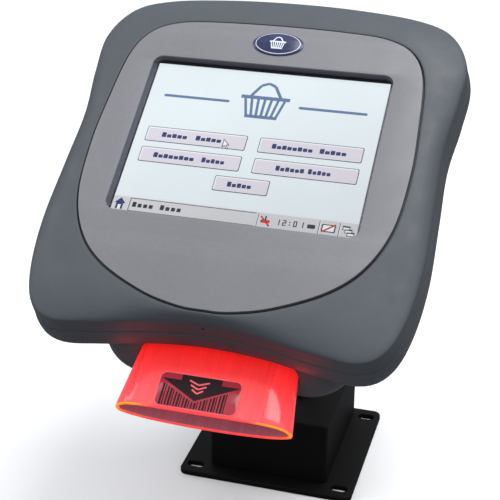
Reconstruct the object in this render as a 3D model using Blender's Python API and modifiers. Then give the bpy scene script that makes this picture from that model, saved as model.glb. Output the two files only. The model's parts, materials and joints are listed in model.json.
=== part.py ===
"""Self checkout kiosk on a screw-down counter stand.

World frame: metres, +Z up, origin at the centre of the base plate's underside,
the customer stands on the -Y side.  The head is drawn in its own frame (x to the
right, y up the screen, z out of the screen, origin at the centre of the screen)
and leans back on the tilt axis.
"""
import math

import bmesh
import bpy
import numpy as np
from mathutils import Matrix, Vector

for old in list(bpy.data.objects):
    bpy.data.objects.remove(old, do_unlink=True)

# ---------------------------------------------------------------- dimensions
MM = 0.001
GAP = 0.3 * MM                      # clearance between neighbouring pieces
TILT = math.radians(34)             # screen plane above the horizontal at rest
SCREEN_CENTRE = (-6.5 * MM, -43 * MM, 193 * MM)
PIVOT_Y = -8 * MM                  # tilt axis in the head frame
PIVOT_Z = -58 * MM
OUTLINE_POINTS = 72                 # points round the housing outline

# stand
PLATE_W, PLATE_D, PLATE_T = 94 * MM, 86 * MM, 3 * MM
PLATE_CORNER = 4 * MM
SLOT_X, SLOT_Y = 39.5 * MM, 35.5 * MM
SLOT_LENGTH, SLOT_WIDTH = 9 * MM, 4.6 * MM
BOX_W, BOX_H = 64 * MM, 35 * MM
BOX_FRONT, BOX_BACK = -34 * MM, 40 * MM
SHEET = 2 * MM
NECK_INNER = 18.1 * MM              # half distance between the two cheeks
NECK_SHEET = 2.5 * MM
NECK_TOP_RADIUS = 11 * MM
PIN_RADIUS = 3 * MM
PIN_CLEARANCE = 0.25 * MM

# head
PARTING_Z = -10.5 * MM
SCREEN_W, SCREEN_H = 115.2 * MM, 86.4 * MM
OPENING_W, OPENING_H = 118.8 * MM, 90 * MM
INSERT_TOP = 4 * MM
HOOD_WALL = 2.2 * MM
HOOD_ROOT, HOOD_MOUTH = -88 * MM, -125.5 * MM
HOOD_X = 2.2 * MM                  # hood and pod sit a little right of the screen's centre
MOUNT_SPACING = 75 * MM

# right half of the housing's front crease, top centre round to bottom centre, mm
BODY_HALF = [(0, 89), (32, 88), (63, 84.3), (81, 76.5), (90.5, 59), (90, 36), (87.4, 10), (88.3, -20),
             (89, -52), (86.2, -78), (80, -94.5), (69, -101.3), (50, -99.6), (24, -95.4), (0, -94)]
# right half of the pale front insert, mm
INSERT_HALF = [(0, 69.8), (30, 69.2), (52, 67), (66, 59.5), (73.4, 44), (76.2, 14), (76.9, -10),
               (74.4, -38), (66, -59), (52, -73.5), (30, -84.8), (12, -89.6), (0, -90.2)]
# right half of the scan hood's section, x and z, mm
HOOD_HALF = [(0, -25), (16, -25), (28.5, -25.3), (35.5, -27.2), (39.3, -31.5), (38.6, -36.5),
             (30, -40.2), (16, -42.3), (0, -43)]

# ------------------------------------------------------------- scene plumbing
kiosk = bpy.data.collections.new("self_checkout_kiosk")
tools = bpy.data.collections.new("cutters")
bpy.context.scene.collection.children.link(kiosk)
bpy.context.scene.collection.children.link(tools)


def material(name, colour, roughness, metallic=0.0):
    """One plain material per named surface."""
    made = bpy.data.materials.new(name)
    made.use_nodes = True
    shader = made.node_tree.nodes["Principled BSDF"]
    shader.inputs["Base Color"].default_value = (*colour, 1.0)
    shader.inputs["Roughness"].default_value = roughness
    shader.inputs["Metallic"].default_value = metallic
    return made


SHELL_GREY = material("shell_grey", (0.10, 0.105, 0.115), 0.55)
INSERT_GREY = material("insert_grey", (0.29, 0.295, 0.305), 0.5)
BEZEL_BLACK = material("bezel_black", (0.03, 0.032, 0.036), 0.45)
TOUCH_GLASS = material("touch_glass", (0.75, 0.8, 0.85), 0.08)
LCD_WHITE = material("lcd_white", (0.8, 0.85, 0.92), 0.2)
STEEL_TRAY = material("steel_tray", (0.6, 0.61, 0.62), 0.35, 1.0)
BOARD_GREEN = material("board_green", (0.03, 0.16, 0.07), 0.5)
CHIP_BLACK = material("chip_black", (0.02, 0.02, 0.022), 0.5)
POWDER_BLACK = material("powder_black", (0.016, 0.017, 0.018), 0.6, 0.2)
ZINC = material("zinc_screw", (0.62, 0.62, 0.6), 0.35, 1.0)
HOOD_RED = material("hood_red", (0.95, 0.12, 0.13), 0.12)
LABEL_CLEAR = material("label_clear", (0.85, 0.45, 0.47), 0.3)
WINDOW_CLEAR = material("window_clear", (0.7, 0.25, 0.25), 0.08)
BADGE_BLUE = material("badge_blue", (0.03, 0.05, 0.14), 0.2)
NYLON = material("nylon_white", (0.75, 0.74, 0.7), 0.5)
RUBBER = material("rubber_black", (0.02, 0.02, 0.02), 0.85)
KNOB_BLACK = material("knob_black", (0.025, 0.025, 0.027), 0.5)
LENS_DARK = material("lens_dark", (0.02, 0.01, 0.03), 0.05)
RIBBON = material("ribbon_buff", (0.62, 0.42, 0.16), 0.5)

stand_frame = bpy.data.objects.new("stand_frame", None)
tilt_axis = bpy.data.objects.new("tilt_axis", None)
head_frame = bpy.data.objects.new("head_frame", None)
for empty in (stand_frame, tilt_axis, head_frame):
    kiosk.objects.link(empty)
lean = Matrix.Rotation(TILT, 4, "X")
tilt_axis.location = Vector(SCREEN_CENTRE) + lean @ Vector((0, PIVOT_Y, PIVOT_Z))
tilt_axis.rotation_euler = (TILT, 0, 0)
head_frame.parent = tilt_axis
head_frame.location = (0, -PIVOT_Y, -PIVOT_Z)
PIN = tuple(tilt_axis.location)     # world position of the tilt axis


def place(obj, look, parent, at=(0, 0, 0), turn=(0, 0, 0)):
    """Give a finished piece its material, parent and position."""
    obj.data.materials.clear()
    obj.data.materials.append(look)
    obj.parent = parent
    obj.location = at
    obj.rotation_euler = turn
    return obj


def from_bmesh(name, bm, where=None):
    """Finish a mesh: faces out, round faces smooth, real edges sharp."""
    bmesh.ops.recalc_face_normals(bm, faces=bm.faces)
    mesh = bpy.data.meshes.new(name)
    bm.to_mesh(mesh)
    bm.free()
    mesh.polygons.foreach_set("use_smooth", [True] * len(mesh.polygons))
    mesh.set_sharp_from_angle(angle=math.radians(32))
    obj = bpy.data.objects.new(name, mesh)
    (where or kiosk).objects.link(obj)
    return obj


def box(name, size, centre=(0, 0, 0), where=None):
    """Rectangular block."""
    bm = bmesh.new()
    bmesh.ops.create_cube(bm, size=1.0)
    bmesh.ops.scale(bm, vec=size, verts=bm.verts)
    bmesh.ops.translate(bm, vec=centre, verts=bm.verts)
    return from_bmesh(name, bm, where)


def cylinder(name, radius, length, axis="Z", centre=(0, 0, 0), sides=24, where=None):
    """Straight round bar centred on a point."""
    bm = bmesh.new()
    bmesh.ops.create_cone(bm, cap_ends=True, segments=sides, radius1=radius, radius2=radius, depth=length)
    if axis != "Z":
        bmesh.ops.rotate(bm, matrix=Matrix.Rotation(math.pi / 2, 3, "Y" if axis == "X" else "X"),
                         verts=bm.verts)
    bmesh.ops.translate(bm, vec=centre, verts=bm.verts)
    return from_bmesh(name, bm, where)


def lathe(name, profile, steps=20):
    """Turn a profile of (radius, height) pairs, listed top to bottom, about Z."""
    mesh = bpy.data.meshes.new(name)
    points = [(r, 0, h) for r, h in profile]
    if points[0] == points[-1]:
        points.pop()
        edges = [(i, (i + 1) % len(points)) for i in range(len(points))]
    else:
        edges = [(i, i + 1) for i in range(len(points) - 1)]
    mesh.from_pydata(points, edges, [])
    obj = bpy.data.objects.new(name, mesh)
    kiosk.objects.link(obj)
    screw = obj.modifiers.new("turn", "SCREW")
    screw.steps = steps
    screw.render_steps = steps
    screw.use_merge_vertices = True
    screw.merge_threshold = 0.00001
    screw.use_smooth_shade = True
    return obj


def circle(radius, sides=20, cx=0.0, cy=0.0):
    return [(cx + radius * math.cos(2 * math.pi * i / sides), cy + radius * math.sin(2 * math.pi * i / sides))
            for i in range(sides)]


def rounded(width, height, radius, corner=5, cx=0.0, cy=0.0):
    """Rectangle with round corners."""
    points = []
    for quarter in range(4):
        sx = (1, -1, -1, 1)[quarter]
        sy = (1, 1, -1, -1)[quarter]
        mx, my = cx + sx * (width / 2 - radius), cy + sy * (height / 2 - radius)
        for i in range(corner + 1):
            a = math.pi / 2 * (quarter + i / corner)
            points.append((mx + radius * math.cos(a), my + radius * math.sin(a)))
    return points


def sheet(name, outlines, thickness, where=None):
    """Flat sheet from closed outlines, the later ones being holes; lies on z = 0 and up."""
    curve = bpy.data.curves.new(name + "_outline", "CURVE")
    curve.dimensions = "2D"
    curve.fill_mode = "BOTH"
    curve.extrude = thickness / 2
    for outline in outlines:
        spline = curve.splines.new("POLY")
        spline.points.add(len(outline) - 1)
        for point, (x, y) in zip(spline.points, outline):
            point.co = (x, y, 0, 1)
        spline.use_cyclic_u = True
    holder = bpy.data.objects.new(name + "_curve", curve)
    kiosk.objects.link(holder)
    graph = bpy.context.evaluated_depsgraph_get()
    mesh = bpy.data.meshes.new_from_object(holder.evaluated_get(graph))
    bpy.data.objects.remove(holder, do_unlink=True)
    bm = bmesh.new()
    bm.from_mesh(mesh)
    bmesh.ops.remove_doubles(bm, verts=bm.verts, dist=0.000002)
    bmesh.ops.translate(bm, vec=(0, 0, thickness / 2), verts=bm.verts)
    return from_bmesh(name, bm, where)


def transform(obj, matrix):
    """Move the geometry of a piece inside its own object."""
    obj.data.transform(matrix)
    obj.data.update()
    return obj


def loft(name, rings, closed=False, where=None):
    """Skin equal-length rings of points; cap both ends, or join the last ring to the first."""
    bm = bmesh.new()
    loops = [[bm.verts.new(p) for p in ring] for ring in rings]
    followers = loops[1:] + (loops[:1] if closed else [])
    for near, far in zip(loops, followers):
        for i in range(len(near)):
            j = (i + 1) % len(near)
            bm.faces.new((near[i], near[j], far[j], far[i]))
    if not closed:
        bm.faces.new(loops[0])
        bm.faces.new(loops[-1])
    return from_bmesh(name, bm, where)


def bevel(obj, width, segments=1, angle=40):
    rounder = obj.modifiers.new("bevel", "BEVEL")
    rounder.width = width
    rounder.segments = segments
    rounder.limit_method = "ANGLE"
    rounder.angle_limit = math.radians(angle)
    return obj


def combine(obj, other, operation):
    """Boolean with a hidden tool piece."""
    if other.name in kiosk.objects:
        kiosk.objects.unlink(other)
        tools.objects.link(other)
    other.hide_render = True
    other.display_type = "WIRE"
    step = obj.modifiers.new(operation.lower(), "BOOLEAN")
    step.operation = operation
    step.solver = "EXACT"
    step.object = other
    return obj


def cut(obj, *others):
    for other in others:
        other.parent = obj.parent
        combine(obj, other, "DIFFERENCE")
    return obj


# ---------------------------------------------------------- smooth outlines
def smooth_closed(half, dense=14):
    """Closed Catmull-Rom curve through half an outline and its mirror image, metres."""
    mirrored = [(-x, y) for x, y in reversed(half[1:-1])]
    knots = np.array(half + mirrored, float) * MM
    count = len(knots)
    points = []
    for k in range(count):
        a, b, c, d = (knots[(k + s) % count] for s in (-1, 0, 1, 2))
        for t in np.linspace(0, 1, dense, endpoint=False):
            points.append(0.5 * (2 * b + (c - a) * t + (2 * a - 5 * b + 4 * c - d) * t ** 2
                                 + (3 * b - a - 3 * c + d) * t ** 3))
    return np.array(points)


def even_points(dense, count):
    """Points at equal spacing along a dense closed curve."""
    closed = np.vstack([dense, dense[:1]])
    length = np.concatenate([[0], np.cumsum(np.linalg.norm(np.diff(closed, axis=0), axis=1))])
    along = np.linspace(0, length[-1], count, endpoint=False)
    return np.column_stack([np.interp(along, length, closed[:, k]) for k in range(2)])


def along_rays(dense, targets, centre):
    """Where rays from the centre through the targets cross a star-shaped curve."""
    rel = dense - centre
    angle = np.arctan2(rel[:, 1], rel[:, 0])
    order = np.argsort(angle)
    reach = np.hypot(rel[:, 0], rel[:, 1])
    aim = np.arctan2(targets[:, 1] - centre[1], targets[:, 0] - centre[0])
    r = np.interp(aim, angle[order], reach[order], period=2 * math.pi)
    return centre + np.column_stack([r * np.cos(aim), r * np.sin(aim)])


def push(points, amount):
    """Move each point of a clockwise outline outwards by an amount."""
    tangent = np.roll(points, -1, axis=0) - np.roll(points, 1, axis=0)
    tangent /= np.linalg.norm(tangent, axis=1)[:, None]
    return points + amount * np.column_stack([-tangent[:, 1], tangent[:, 0]])


def at_depth(points, z):
    return [(float(x), float(y), float(z)) for x, y in points]


CENTRE = np.array([0.0, -6 * MM])
body = even_points(smooth_closed(BODY_HALF), OUTLINE_POINTS)
insert = along_rays(smooth_closed(INSERT_HALF), body, CENTRE)


def between(share):
    """Outline part of the way from the insert's edge to the crease."""
    return insert + (body - insert) * share


def shrunk(share):
    """Housing outline scaled towards its centre."""
    return CENTRE + (body - CENTRE) * share


def dome(share):
    """Height of the front face between the insert's edge and the crease."""
    return (3.4 - 4.8 * share ** 2) * MM


# ------------------------------------------------------------------- stand
base_slots = [rounded(SLOT_LENGTH, SLOT_WIDTH, SLOT_WIDTH / 2 - 0.01 * MM, 5, sx * SLOT_X, sy * SLOT_Y)
              for sx in (-1, 1) for sy in (-1, 1)]
base_plate = sheet("base_plate", [rounded(PLATE_W, PLATE_D, PLATE_CORNER, 6)] + base_slots, PLATE_T)
place(base_plate, POWDER_BLACK, stand_frame)

BOX_BOTTOM = PLATE_T + GAP
BOX_TOP = BOX_BOTTOM + BOX_H
box_length = BOX_BACK - BOX_FRONT
box_mid = (BOX_BACK + BOX_FRONT) / 2
pedestal = sheet("pedestal_box", [rounded(BOX_W, box_length, 2.5 * MM, 4)], BOX_H)
place(pedestal, POWDER_BLACK, stand_frame, (0, box_mid, BOX_BOTTOM))
hollow = sheet("pedestal_hollow", [rounded(BOX_W - 2 * SHEET, box_length - 2 * SHEET, 1 * MM, 3)],
               BOX_H, tools)
hollow.location = (0, box_mid, BOX_BOTTOM - SHEET)
OUTLET_Z = BOX_BOTTOM + 17 * MM      # height of the cable outlet's centre
cable_hole = cylinder("pedestal_cable_hole", 8 * MM, 12 * MM, "Y", (0, BOX_BACK, OUTLET_Z), 28, tools)
NECK_X = SCREEN_CENTRE[0]
NECK_Y = 14 * MM                    # middle of the neck's foot
FOOT_W, FOOT_D = 2 * (NECK_INNER + NECK_SHEET) + 2 * MM, 46 * MM
foot_holes = [(sx * 11 * MM, sy * 15 * MM) for sx in (-1, 1) for sy in (-1, 1)]
top_cutters = [cylinder("pedestal_screw_hole_%d" % i, 2.3 * MM, 8 * MM, "Z",
                        (NECK_X + x, NECK_Y + y, BOX_TOP), 16, tools)
               for i, (x, y) in enumerate(foot_holes)]
top_cutters.append(cylinder("pedestal_wire_hole", 7 * MM, 8 * MM, "Z", (NECK_X, NECK_Y, BOX_TOP), 24, tools))
cut(pedestal, hollow, cable_hole, *top_cutters)

grommet = lathe("cable_grommet", [(5.2 * MM, 2.4 * MM), (9.8 * MM, 2.4 * MM), (9.8 * MM, 0.3 * MM),
                                  (7.7 * MM, 0.3 * MM), (7.7 * MM, -2.3 * MM), (9.6 * MM, -2.3 * MM),
                                  (9.6 * MM, -4.1 * MM), (5.2 * MM, -4.1 * MM), (5.2 * MM, 2.4 * MM)], 24)
place(grommet, RUBBER, stand_frame, (0, BOX_BACK, OUTLET_Z), (-math.pi / 2, 0, 0))

# neck: a folded foot and two cheeks that carry the tilt pin
neck = sheet("neck_bracket", [rounded(FOOT_W, FOOT_D, 3 * MM, 4)], NECK_SHEET)
place(neck, POWDER_BLACK, stand_frame, (NECK_X, NECK_Y, BOX_TOP + GAP))
pin_y = PIN[1] - NECK_Y
pin_z = PIN[2] - BOX_TOP - GAP
cheek_lower = [(FOOT_D / 2 - 4 * MM, 0.7 * MM), (-FOOT_D / 2 + 4 * MM, 0.7 * MM)]
cheek_arc = []
for step in range(11):
    a = math.radians(190 - 20 * step)
    cheek_arc.append((pin_y + NECK_TOP_RADIUS * math.cos(a), pin_z + NECK_TOP_RADIUS * math.sin(a)))
cheek_outline = cheek_lower + cheek_arc
for side in (-1, 1):
    cheek = sheet("neck_cheek_%s" % ("left" if side < 0 else "right"),
                  [cheek_outline, circle(PIN_RADIUS + PIN_CLEARANCE, 24, pin_y, pin_z)], NECK_SHEET, tools)
    turn = Matrix(((0, 0, 1, 0), (1, 0, 0, 0), (0, 1, 0, 0), (0, 0, 0, 1)))
    start = side * (NECK_INNER + NECK_SHEET / 2) - NECK_SHEET / 2
    transform(cheek, Matrix.Translation((start, 0, 0)) @ turn)
    cheek.parent = stand_frame
    cheek.location = neck.location
    combine(neck, cheek, "UNION")
foot_cutters = [cylinder("neck_wire_hole", 6 * MM, 10 * MM, "Z", (0, 0, 0), 20, tools)]
for i, (x, y) in enumerate(foot_holes):
    slot = sheet("neck_slot_%d" % i, [rounded(8 * MM, 4.4 * MM, 2.19 * MM, 4, x, y)], 6 * MM, tools)
    foot_cutters.append(transform(slot, Matrix.Translation((0, 0, -1.5 * MM))))
for tool in foot_cutters:
    tool.location = neck.location
cut(neck, *foot_cutters)

for i, (x, y) in enumerate(foot_holes):
    top = NECK_SHEET + 2 * GAP
    screw = lathe("neck_screw_%d" % (i + 1),
                  [(0, top + 2.6 * MM), (3.0 * MM, top + 2.4 * MM), (3.8 * MM, top + 1.4 * MM),
                   (3.8 * MM, top), (1.9 * MM, top), (1.9 * MM, -8 * MM), (0, -8 * MM)], 12)
    place(screw, ZINC, stand_frame, (NECK_X + x, NECK_Y + y, BOX_TOP))

# tilt pin with a hexagon head on the left and the locking knob on the right
CHEEK_OUTER = NECK_INNER + NECK_SHEET
pin_bolt = cylinder("tilt_pin", PIN_RADIUS, 2 * CHEEK_OUTER + 12 * MM, "X", (5.5 * MM, 0, 0), 24)
place(pin_bolt, ZINC, stand_frame, PIN)
hexagon = cylinder("tilt_pin_head", 5.8 * MM, 4 * MM, "X", (-CHEEK_OUTER - 2.3 * MM, 0, 0), 6, tools)
hexagon.parent = stand_frame
hexagon.location = PIN
combine(pin_bolt, hexagon, "UNION")

KNOB_START = CHEEK_OUTER + GAP
lobes = []
for i in range(36):
    a = 2 * math.pi * i / 36
    r = 12.2 * MM + 1.3 * MM * math.cos(6 * a)
    lobes.append((r * math.cos(a), r * math.sin(a)))
knob = sheet("tilt_knob", [lobes], 9 * MM)
transform(knob, Matrix.Translation((0, 0, 6 * MM)))
bevel(knob, 1.0 * MM, 1, 60)
place(knob, KNOB_BLACK, stand_frame, (PIN[0] + KNOB_START, PIN[1], PIN[2]), (0, math.pi / 2, 0))
knob_hub = cylinder("tilt_knob_hub", 6.5 * MM, 7 * MM, "Z", (0, 0, 3.5 * MM), 24, tools)
knob_bore = cylinder("tilt_knob_bore", PIN_RADIUS + PIN_CLEARANCE, 24 * MM, "Z", (0, 0, 0.6 * MM), 24, tools)
for tool in (knob_hub, knob_bore):
    tool.parent = stand_frame
    tool.location = knob.location
    tool.rotation_euler = knob.rotation_euler
combine(knob, knob_hub, "UNION")
combine(knob, knob_bore, "DIFFERENCE")

for side, name in ((-1, "friction_washer_left"), (1, "friction_washer_right")):
    washer = sheet(name, [circle(8 * MM, 24), circle(PIN_RADIUS + PIN_CLEARANCE, 24)], 1 * MM)
    inner_x = PIN[0] + side * (NECK_INNER - GAP - 0.5 * MM) - 0.5 * MM
    place(washer, NYLON, stand_frame, (inner_x, PIN[1], PIN[2]), (0, math.pi / 2, 0))

# ------------------------------------------------------- head: front shell
front_rings = [
    (push(body, 1.0 * MM), PARTING_Z), (push(body, 0.7 * MM), -7.0 * MM), (push(body, 0.3 * MM), -3.2 * MM),
    (push(body, 0.0), -2.2 * MM), (between(0.97), -1.4 * MM), (between(0.9), -0.65 * MM),
    (between(0.72), dome(0.72)),
    (between(0.48), dome(0.48)), (between(0.22), dome(0.22)), (between(0.03), 3.4 * MM),
    (between(0.0), 2.9 * MM), (between(0.0), 1.2 * MM), (push(insert, -7 * MM), 1.2 * MM),
    (push(insert, -7 * MM), -0.8 * MM), (between(0.0), -1.0 * MM), (between(0.45), dome(0.45) - 2.6 * MM),
    (push(body, -2.6 * MM), -4.8 * MM), (push(body, -1.5 * MM), -7.5 * MM),
    (push(body, -1.2 * MM), PARTING_Z)]
front_shell = loft("front_shell", [at_depth(p, z) for p, z in front_rings], closed=True)
place(front_shell, SHELL_GREY, head_frame)
HOUSING_SCREWS = [(sx * 76 * MM, y * MM) for sx in (-1, 1) for y in (49, -44)]
BOSS_FOOT = -17.5 * MM
for i, (x, y) in enumerate(HOUSING_SCREWS):
    boss = cylinder("front_boss_%d" % i, 3.6 * MM, 16.9 * MM, "Z", (x, y, BOSS_FOOT + 8.45 * MM), 16, tools)
    boss.parent = head_frame
    combine(front_shell, boss, "UNION")
    pilot = cylinder("front_pilot_%d" % i, 1.75 * MM, 12 * MM, "Z", (x, y, BOSS_FOOT + 5 * MM), 12, tools)
    cut(front_shell, pilot)
MIC_Z = -6.2 * MM
mic_hole = cylinder("mic_hole_cutter", 0.7 * MM, 14 * MM, "Y", (0, -96 * MM, MIC_Z), 12, tools)
cut(front_shell, mic_hole)
mic = cylinder("microphone", 2.5 * MM, 2.4 * MM, "Y", (0, 0, 0), 20)
place(mic, BEZEL_BLACK, head_frame, (0, -89.8 * MM, MIC_Z))

# pale insert with the bevelled screen opening
insert_edge = push(insert, -0.9 * MM)
opening = rounded(OPENING_W, OPENING_H, 5 * MM, 6)
panel_low = sheet("front_insert", [[tuple(p) for p in insert_edge.tolist()], opening], 2.4 * MM)
place(panel_low, INSERT_GREY, head_frame, (0, 0, INSERT_TOP - 2.4 * MM))
bevel(panel_low, 0.5 * MM, 1, 60)

badge = lathe("badge", [(0, 1.5 * MM), (4 * MM, 1.4 * MM), (8.5 * MM, 1.1 * MM), (11.6 * MM, 0.6 * MM),
                        (12.7 * MM, 0), (0, 0)], 40)
badge.scale = (1, 0.56, 1)
place(badge, BADGE_BLUE, head_frame, (0, 57.6 * MM, INSERT_TOP + GAP))

# dark bezel that slopes from the opening down to the screen
outer_w, outer_h = OPENING_W - 2 * GAP, OPENING_H - 2 * GAP
bezel_rings = [
    at_depth(rounded(outer_w, outer_h, 5 * MM, 6), 3.6 * MM),
    at_depth(rounded(outer_w - 1.2 * MM, outer_h - 1.2 * MM, 4.4 * MM, 6), 3.6 * MM),
    at_depth(rounded(SCREEN_W + 0.6 * MM, SCREEN_H + 0.6 * MM, 1.2 * MM, 6), 0.4 * MM),
    at_depth(rounded(SCREEN_W + 0.6 * MM, SCREEN_H + 0.6 * MM, 1.2 * MM, 6), -0.3 * MM),
    at_depth(rounded(outer_w, outer_h, 5 * MM, 6), -0.3 * MM)]
screen_bezel = loft("screen_bezel", bezel_rings, closed=True)
place(screen_bezel, BEZEL_BLACK, head_frame)

# display stack
touch = sheet("touch_panel", [rounded(122 * MM, 93 * MM, 2 * MM, 4)], 1.4 * MM)
place(touch, TOUCH_GLASS, head_frame, (0, 0, -2.0 * MM))
lcd = box("lcd_panel", (120 * MM, 91 * MM, 1.8 * MM))
place(lcd, LCD_WHITE, head_frame, (0, 0, -3.2 * MM))
tray = sheet("lcd_tray", [rounded(132 * MM, 103 * MM, 2 * MM, 3)], 7 * MM)
place(tray, STEEL_TRAY, head_frame, (0, 0, -11.4 * MM))
pocket = box("lcd_tray_pocket", (120.8 * MM, 91.8 * MM, 3 * MM), (0, 0, -4.0 * MM), tools)
cut(tray, pocket)
backlight_board = sheet("backlight_board", [rounded(112 * MM, 18 * MM, 1 * MM, 2)], 1.6 * MM)
place(backlight_board, BOARD_GREEN, head_frame, (0, 64.5 * MM, -12 * MM))

# boards behind the display
main_board = sheet("main_board", [rounded(128 * MM, 96 * MM, 2 * MM, 3)], 1.6 * MM)
place(main_board, BOARD_GREEN, head_frame, (0, 0, -18.5 * MM))
processor = box("processor_shield", (34 * MM, 30 * MM, 3.4 * MM))
place(processor, STEEL_TRAY, head_frame, (-20 * MM, 14 * MM, -20.5 * MM))
memory = box("memory_module", (48 * MM, 12 * MM, 3 * MM))
place(memory, CHIP_BLACK, head_frame, (30 * MM, 22 * MM, -20.3 * MM))
ribbon_path = [(-40 * MM, -14.6 * MM), (-52 * MM, -15.2 * MM), (-55 * MM, -18 * MM),
               (-53 * MM, -21.2 * MM), (-44 * MM, -21.6 * MM)]
ribbon_curve = bpy.data.curves.new("ribbon_path", "CURVE")
ribbon_curve.dimensions = "3D"
ribbon_curve.extrude = 9 * MM
path = ribbon_curve.splines.new("BEZIER")
path.bezier_points.add(len(ribbon_path) - 1)
for point, (y, z) in zip(path.bezier_points, ribbon_path):
    point.co = (0, y, z)
    point.handle_left_type = "AUTO"
    point.handle_right_type = "AUTO"
    point.tilt = math.pi / 2
path.resolution_u = 5
ribbon_holder = bpy.data.objects.new("ribbon_holder", ribbon_curve)
kiosk.objects.link(ribbon_holder)
graph = bpy.context.evaluated_depsgraph_get()
ribbon_mesh = bpy.data.meshes.new_from_object(ribbon_holder.evaluated_get(graph))
bpy.data.objects.remove(ribbon_holder, do_unlink=True)
lcd_ribbon = bpy.data.objects.new("lcd_ribbon", ribbon_mesh)
kiosk.objects.link(lcd_ribbon)
thicken = lcd_ribbon.modifiers.new("thickness", "SOLIDIFY")
thicken.thickness = 0.4 * MM
thicken.offset = 0
place(lcd_ribbon, RIBBON, head_frame, (-30 * MM, 0, 0))

# connectors on the back of the main board, mouths facing out of the rear wall
PORT_Y = 47 * MM
PORTS = [("ethernet_jack", 16 * MM, 13.6 * MM, -30 * MM), ("serial_jack", 13 * MM, 13.6 * MM, -9 * MM),
         ("usb_jack", 14 * MM, 7.4 * MM, 11 * MM), ("power_jack", 9.4 * MM, 11 * MM, 29 * MM)]
PORT_TOP = -18.5 * MM - GAP
PORT_BACK = -36.8 * MM
port_cutters = []
for name, width, height, x in PORTS:
    jack = box(name, (width, height, PORT_TOP - PORT_BACK))
    place(jack, CHIP_BLACK if name == "power_jack" else STEEL_TRAY, head_frame,
          (x, PORT_Y, (PORT_TOP + PORT_BACK) / 2))
    if name == "power_jack":
        mouth = cylinder(name + "_mouth", 3.2 * MM, 20 * MM, "Z", (x, PORT_Y, PORT_BACK), 20, tools)
    else:
        mouth = box(name + "_mouth", (width - 3 * MM, height - 3 * MM, 20 * MM),
                    (x, PORT_Y, PORT_BACK), tools)
    cut(jack, mouth)
    port_cutters.append(box(name + "_window", (width + 0.8 * MM, height + 0.8 * MM, 12 * MM),
                            (x, PORT_Y, -38 * MM), tools))

# ------------------------------------------------------- head: rear shell
outer_steps = [(push(body, 1.0 * MM), PARTING_Z - GAP), (push(body, 1.8 * MM), -16.5 * MM),
               (push(body, 0.9 * MM), -22.5 * MM), (shrunk(0.955), -28.5 * MM), (shrunk(0.885), -33.6 * MM),
               (shrunk(0.79), -37.1 * MM), (shrunk(0.71), -38 * MM)]
inner_steps = [(push(body, -1.2 * MM), PARTING_Z + 3 * MM), (push(body, -1.2 * MM), PARTING_Z - GAP),
               (push(body, -0.6 * MM), -17 * MM), (push(body, -1.8 * MM), -21.8 * MM),
               (push(shrunk(0.955), -2.3 * MM), -27.2 * MM), (push(shrunk(0.885), -2.0 * MM), -31.6 * MM),
               (push(shrunk(0.79), -1.2 * MM), -34.7 * MM), (shrunk(0.70), -35.5 * MM)]
rear_shell = loft("rear_shell", [at_depth(p, z) for p, z in outer_steps])
place(rear_shell, SHELL_GREY, head_frame)


def pod_ring(z, half_width, bottom, top, radius):
    """Section of the scanner pod across the head's depth."""
    return at_depth(rounded(2 * half_width, top - bottom, radius, 4, HOOD_X, (top + bottom) / 2), z)


POD = [(-15, 50, -90, -62, 12), (-24, 56, -93, -59, 15), (-30, 58.5, -96.5, -57, 18),
       (-37, 60, -100, -55.5, 21), (-44, 60.3, -101, -55.5, 22), (-51, 58.5, -98.3, -58, 19.5),
       (-55.5, 54.5, -93.5, -63, 14), (-57.2, 48.5, -88, -69, 9)]
pod_outer = loft("pod_outer", [pod_ring(*(v * MM for v in row)) for row in POD], where=tools)
pod_hollow = [(z, w - 2.5, b + 2.5, t - 2.5, r - 2.2) for z, w, b, t, r in POD[:-2]]
pod_hollow.append((-54.8, 52, -91.5, -65, 11))
pod_inner = loft("pod_inner", [pod_ring(*(v * MM for v in row)) for row in pod_hollow], where=tools)
inner_solid = loft("shell_inner", [at_depth(p, z) for p, z in inner_steps], where=tools)
pod_outer.parent = head_frame
combine(rear_shell, pod_outer, "UNION")
cut(rear_shell, inner_solid, pod_inner)
SCREW_SEAT = -22 * MM
for i, (x, y) in enumerate(HOUSING_SCREWS):
    post = cylinder("rear_boss_%d" % i, 5.4 * MM, 17 * MM, "Z", (x, y, BOSS_FOOT - GAP - 8.5 * MM), 20, tools)
    post.parent = head_frame
    combine(rear_shell, post, "UNION")

# hood section, root and mouth
hood_line = even_points(smooth_closed(HOOD_HALF), 36)
HOOD_MID = np.array([0.0, -33.5 * MM])
FLARE_Y, FLARE = (-125.5 * MM, -110 * MM, -90.5 * MM), (1.03, 0.98, 0.92)


def hood_ring(y, grow=0.0):
    """One ring of the hood at a height on the head, flared towards the mouth and grown outwards."""
    flare = float(np.interp(y, FLARE_Y, FLARE))
    line = push(HOOD_MID + (hood_line - HOOD_MID) * flare, grow)
    return [(float(x) + HOOD_X, float(y), float(z)) for x, z in line]


socket = loft("hood_socket", [hood_ring(-70 * MM, 0.5 * MM), hood_ring(-90.5 * MM, 0.5 * MM),
                              hood_ring(-112 * MM, 0.5 * MM)], where=tools)
cut(rear_shell, socket, *port_cutters)

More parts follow.
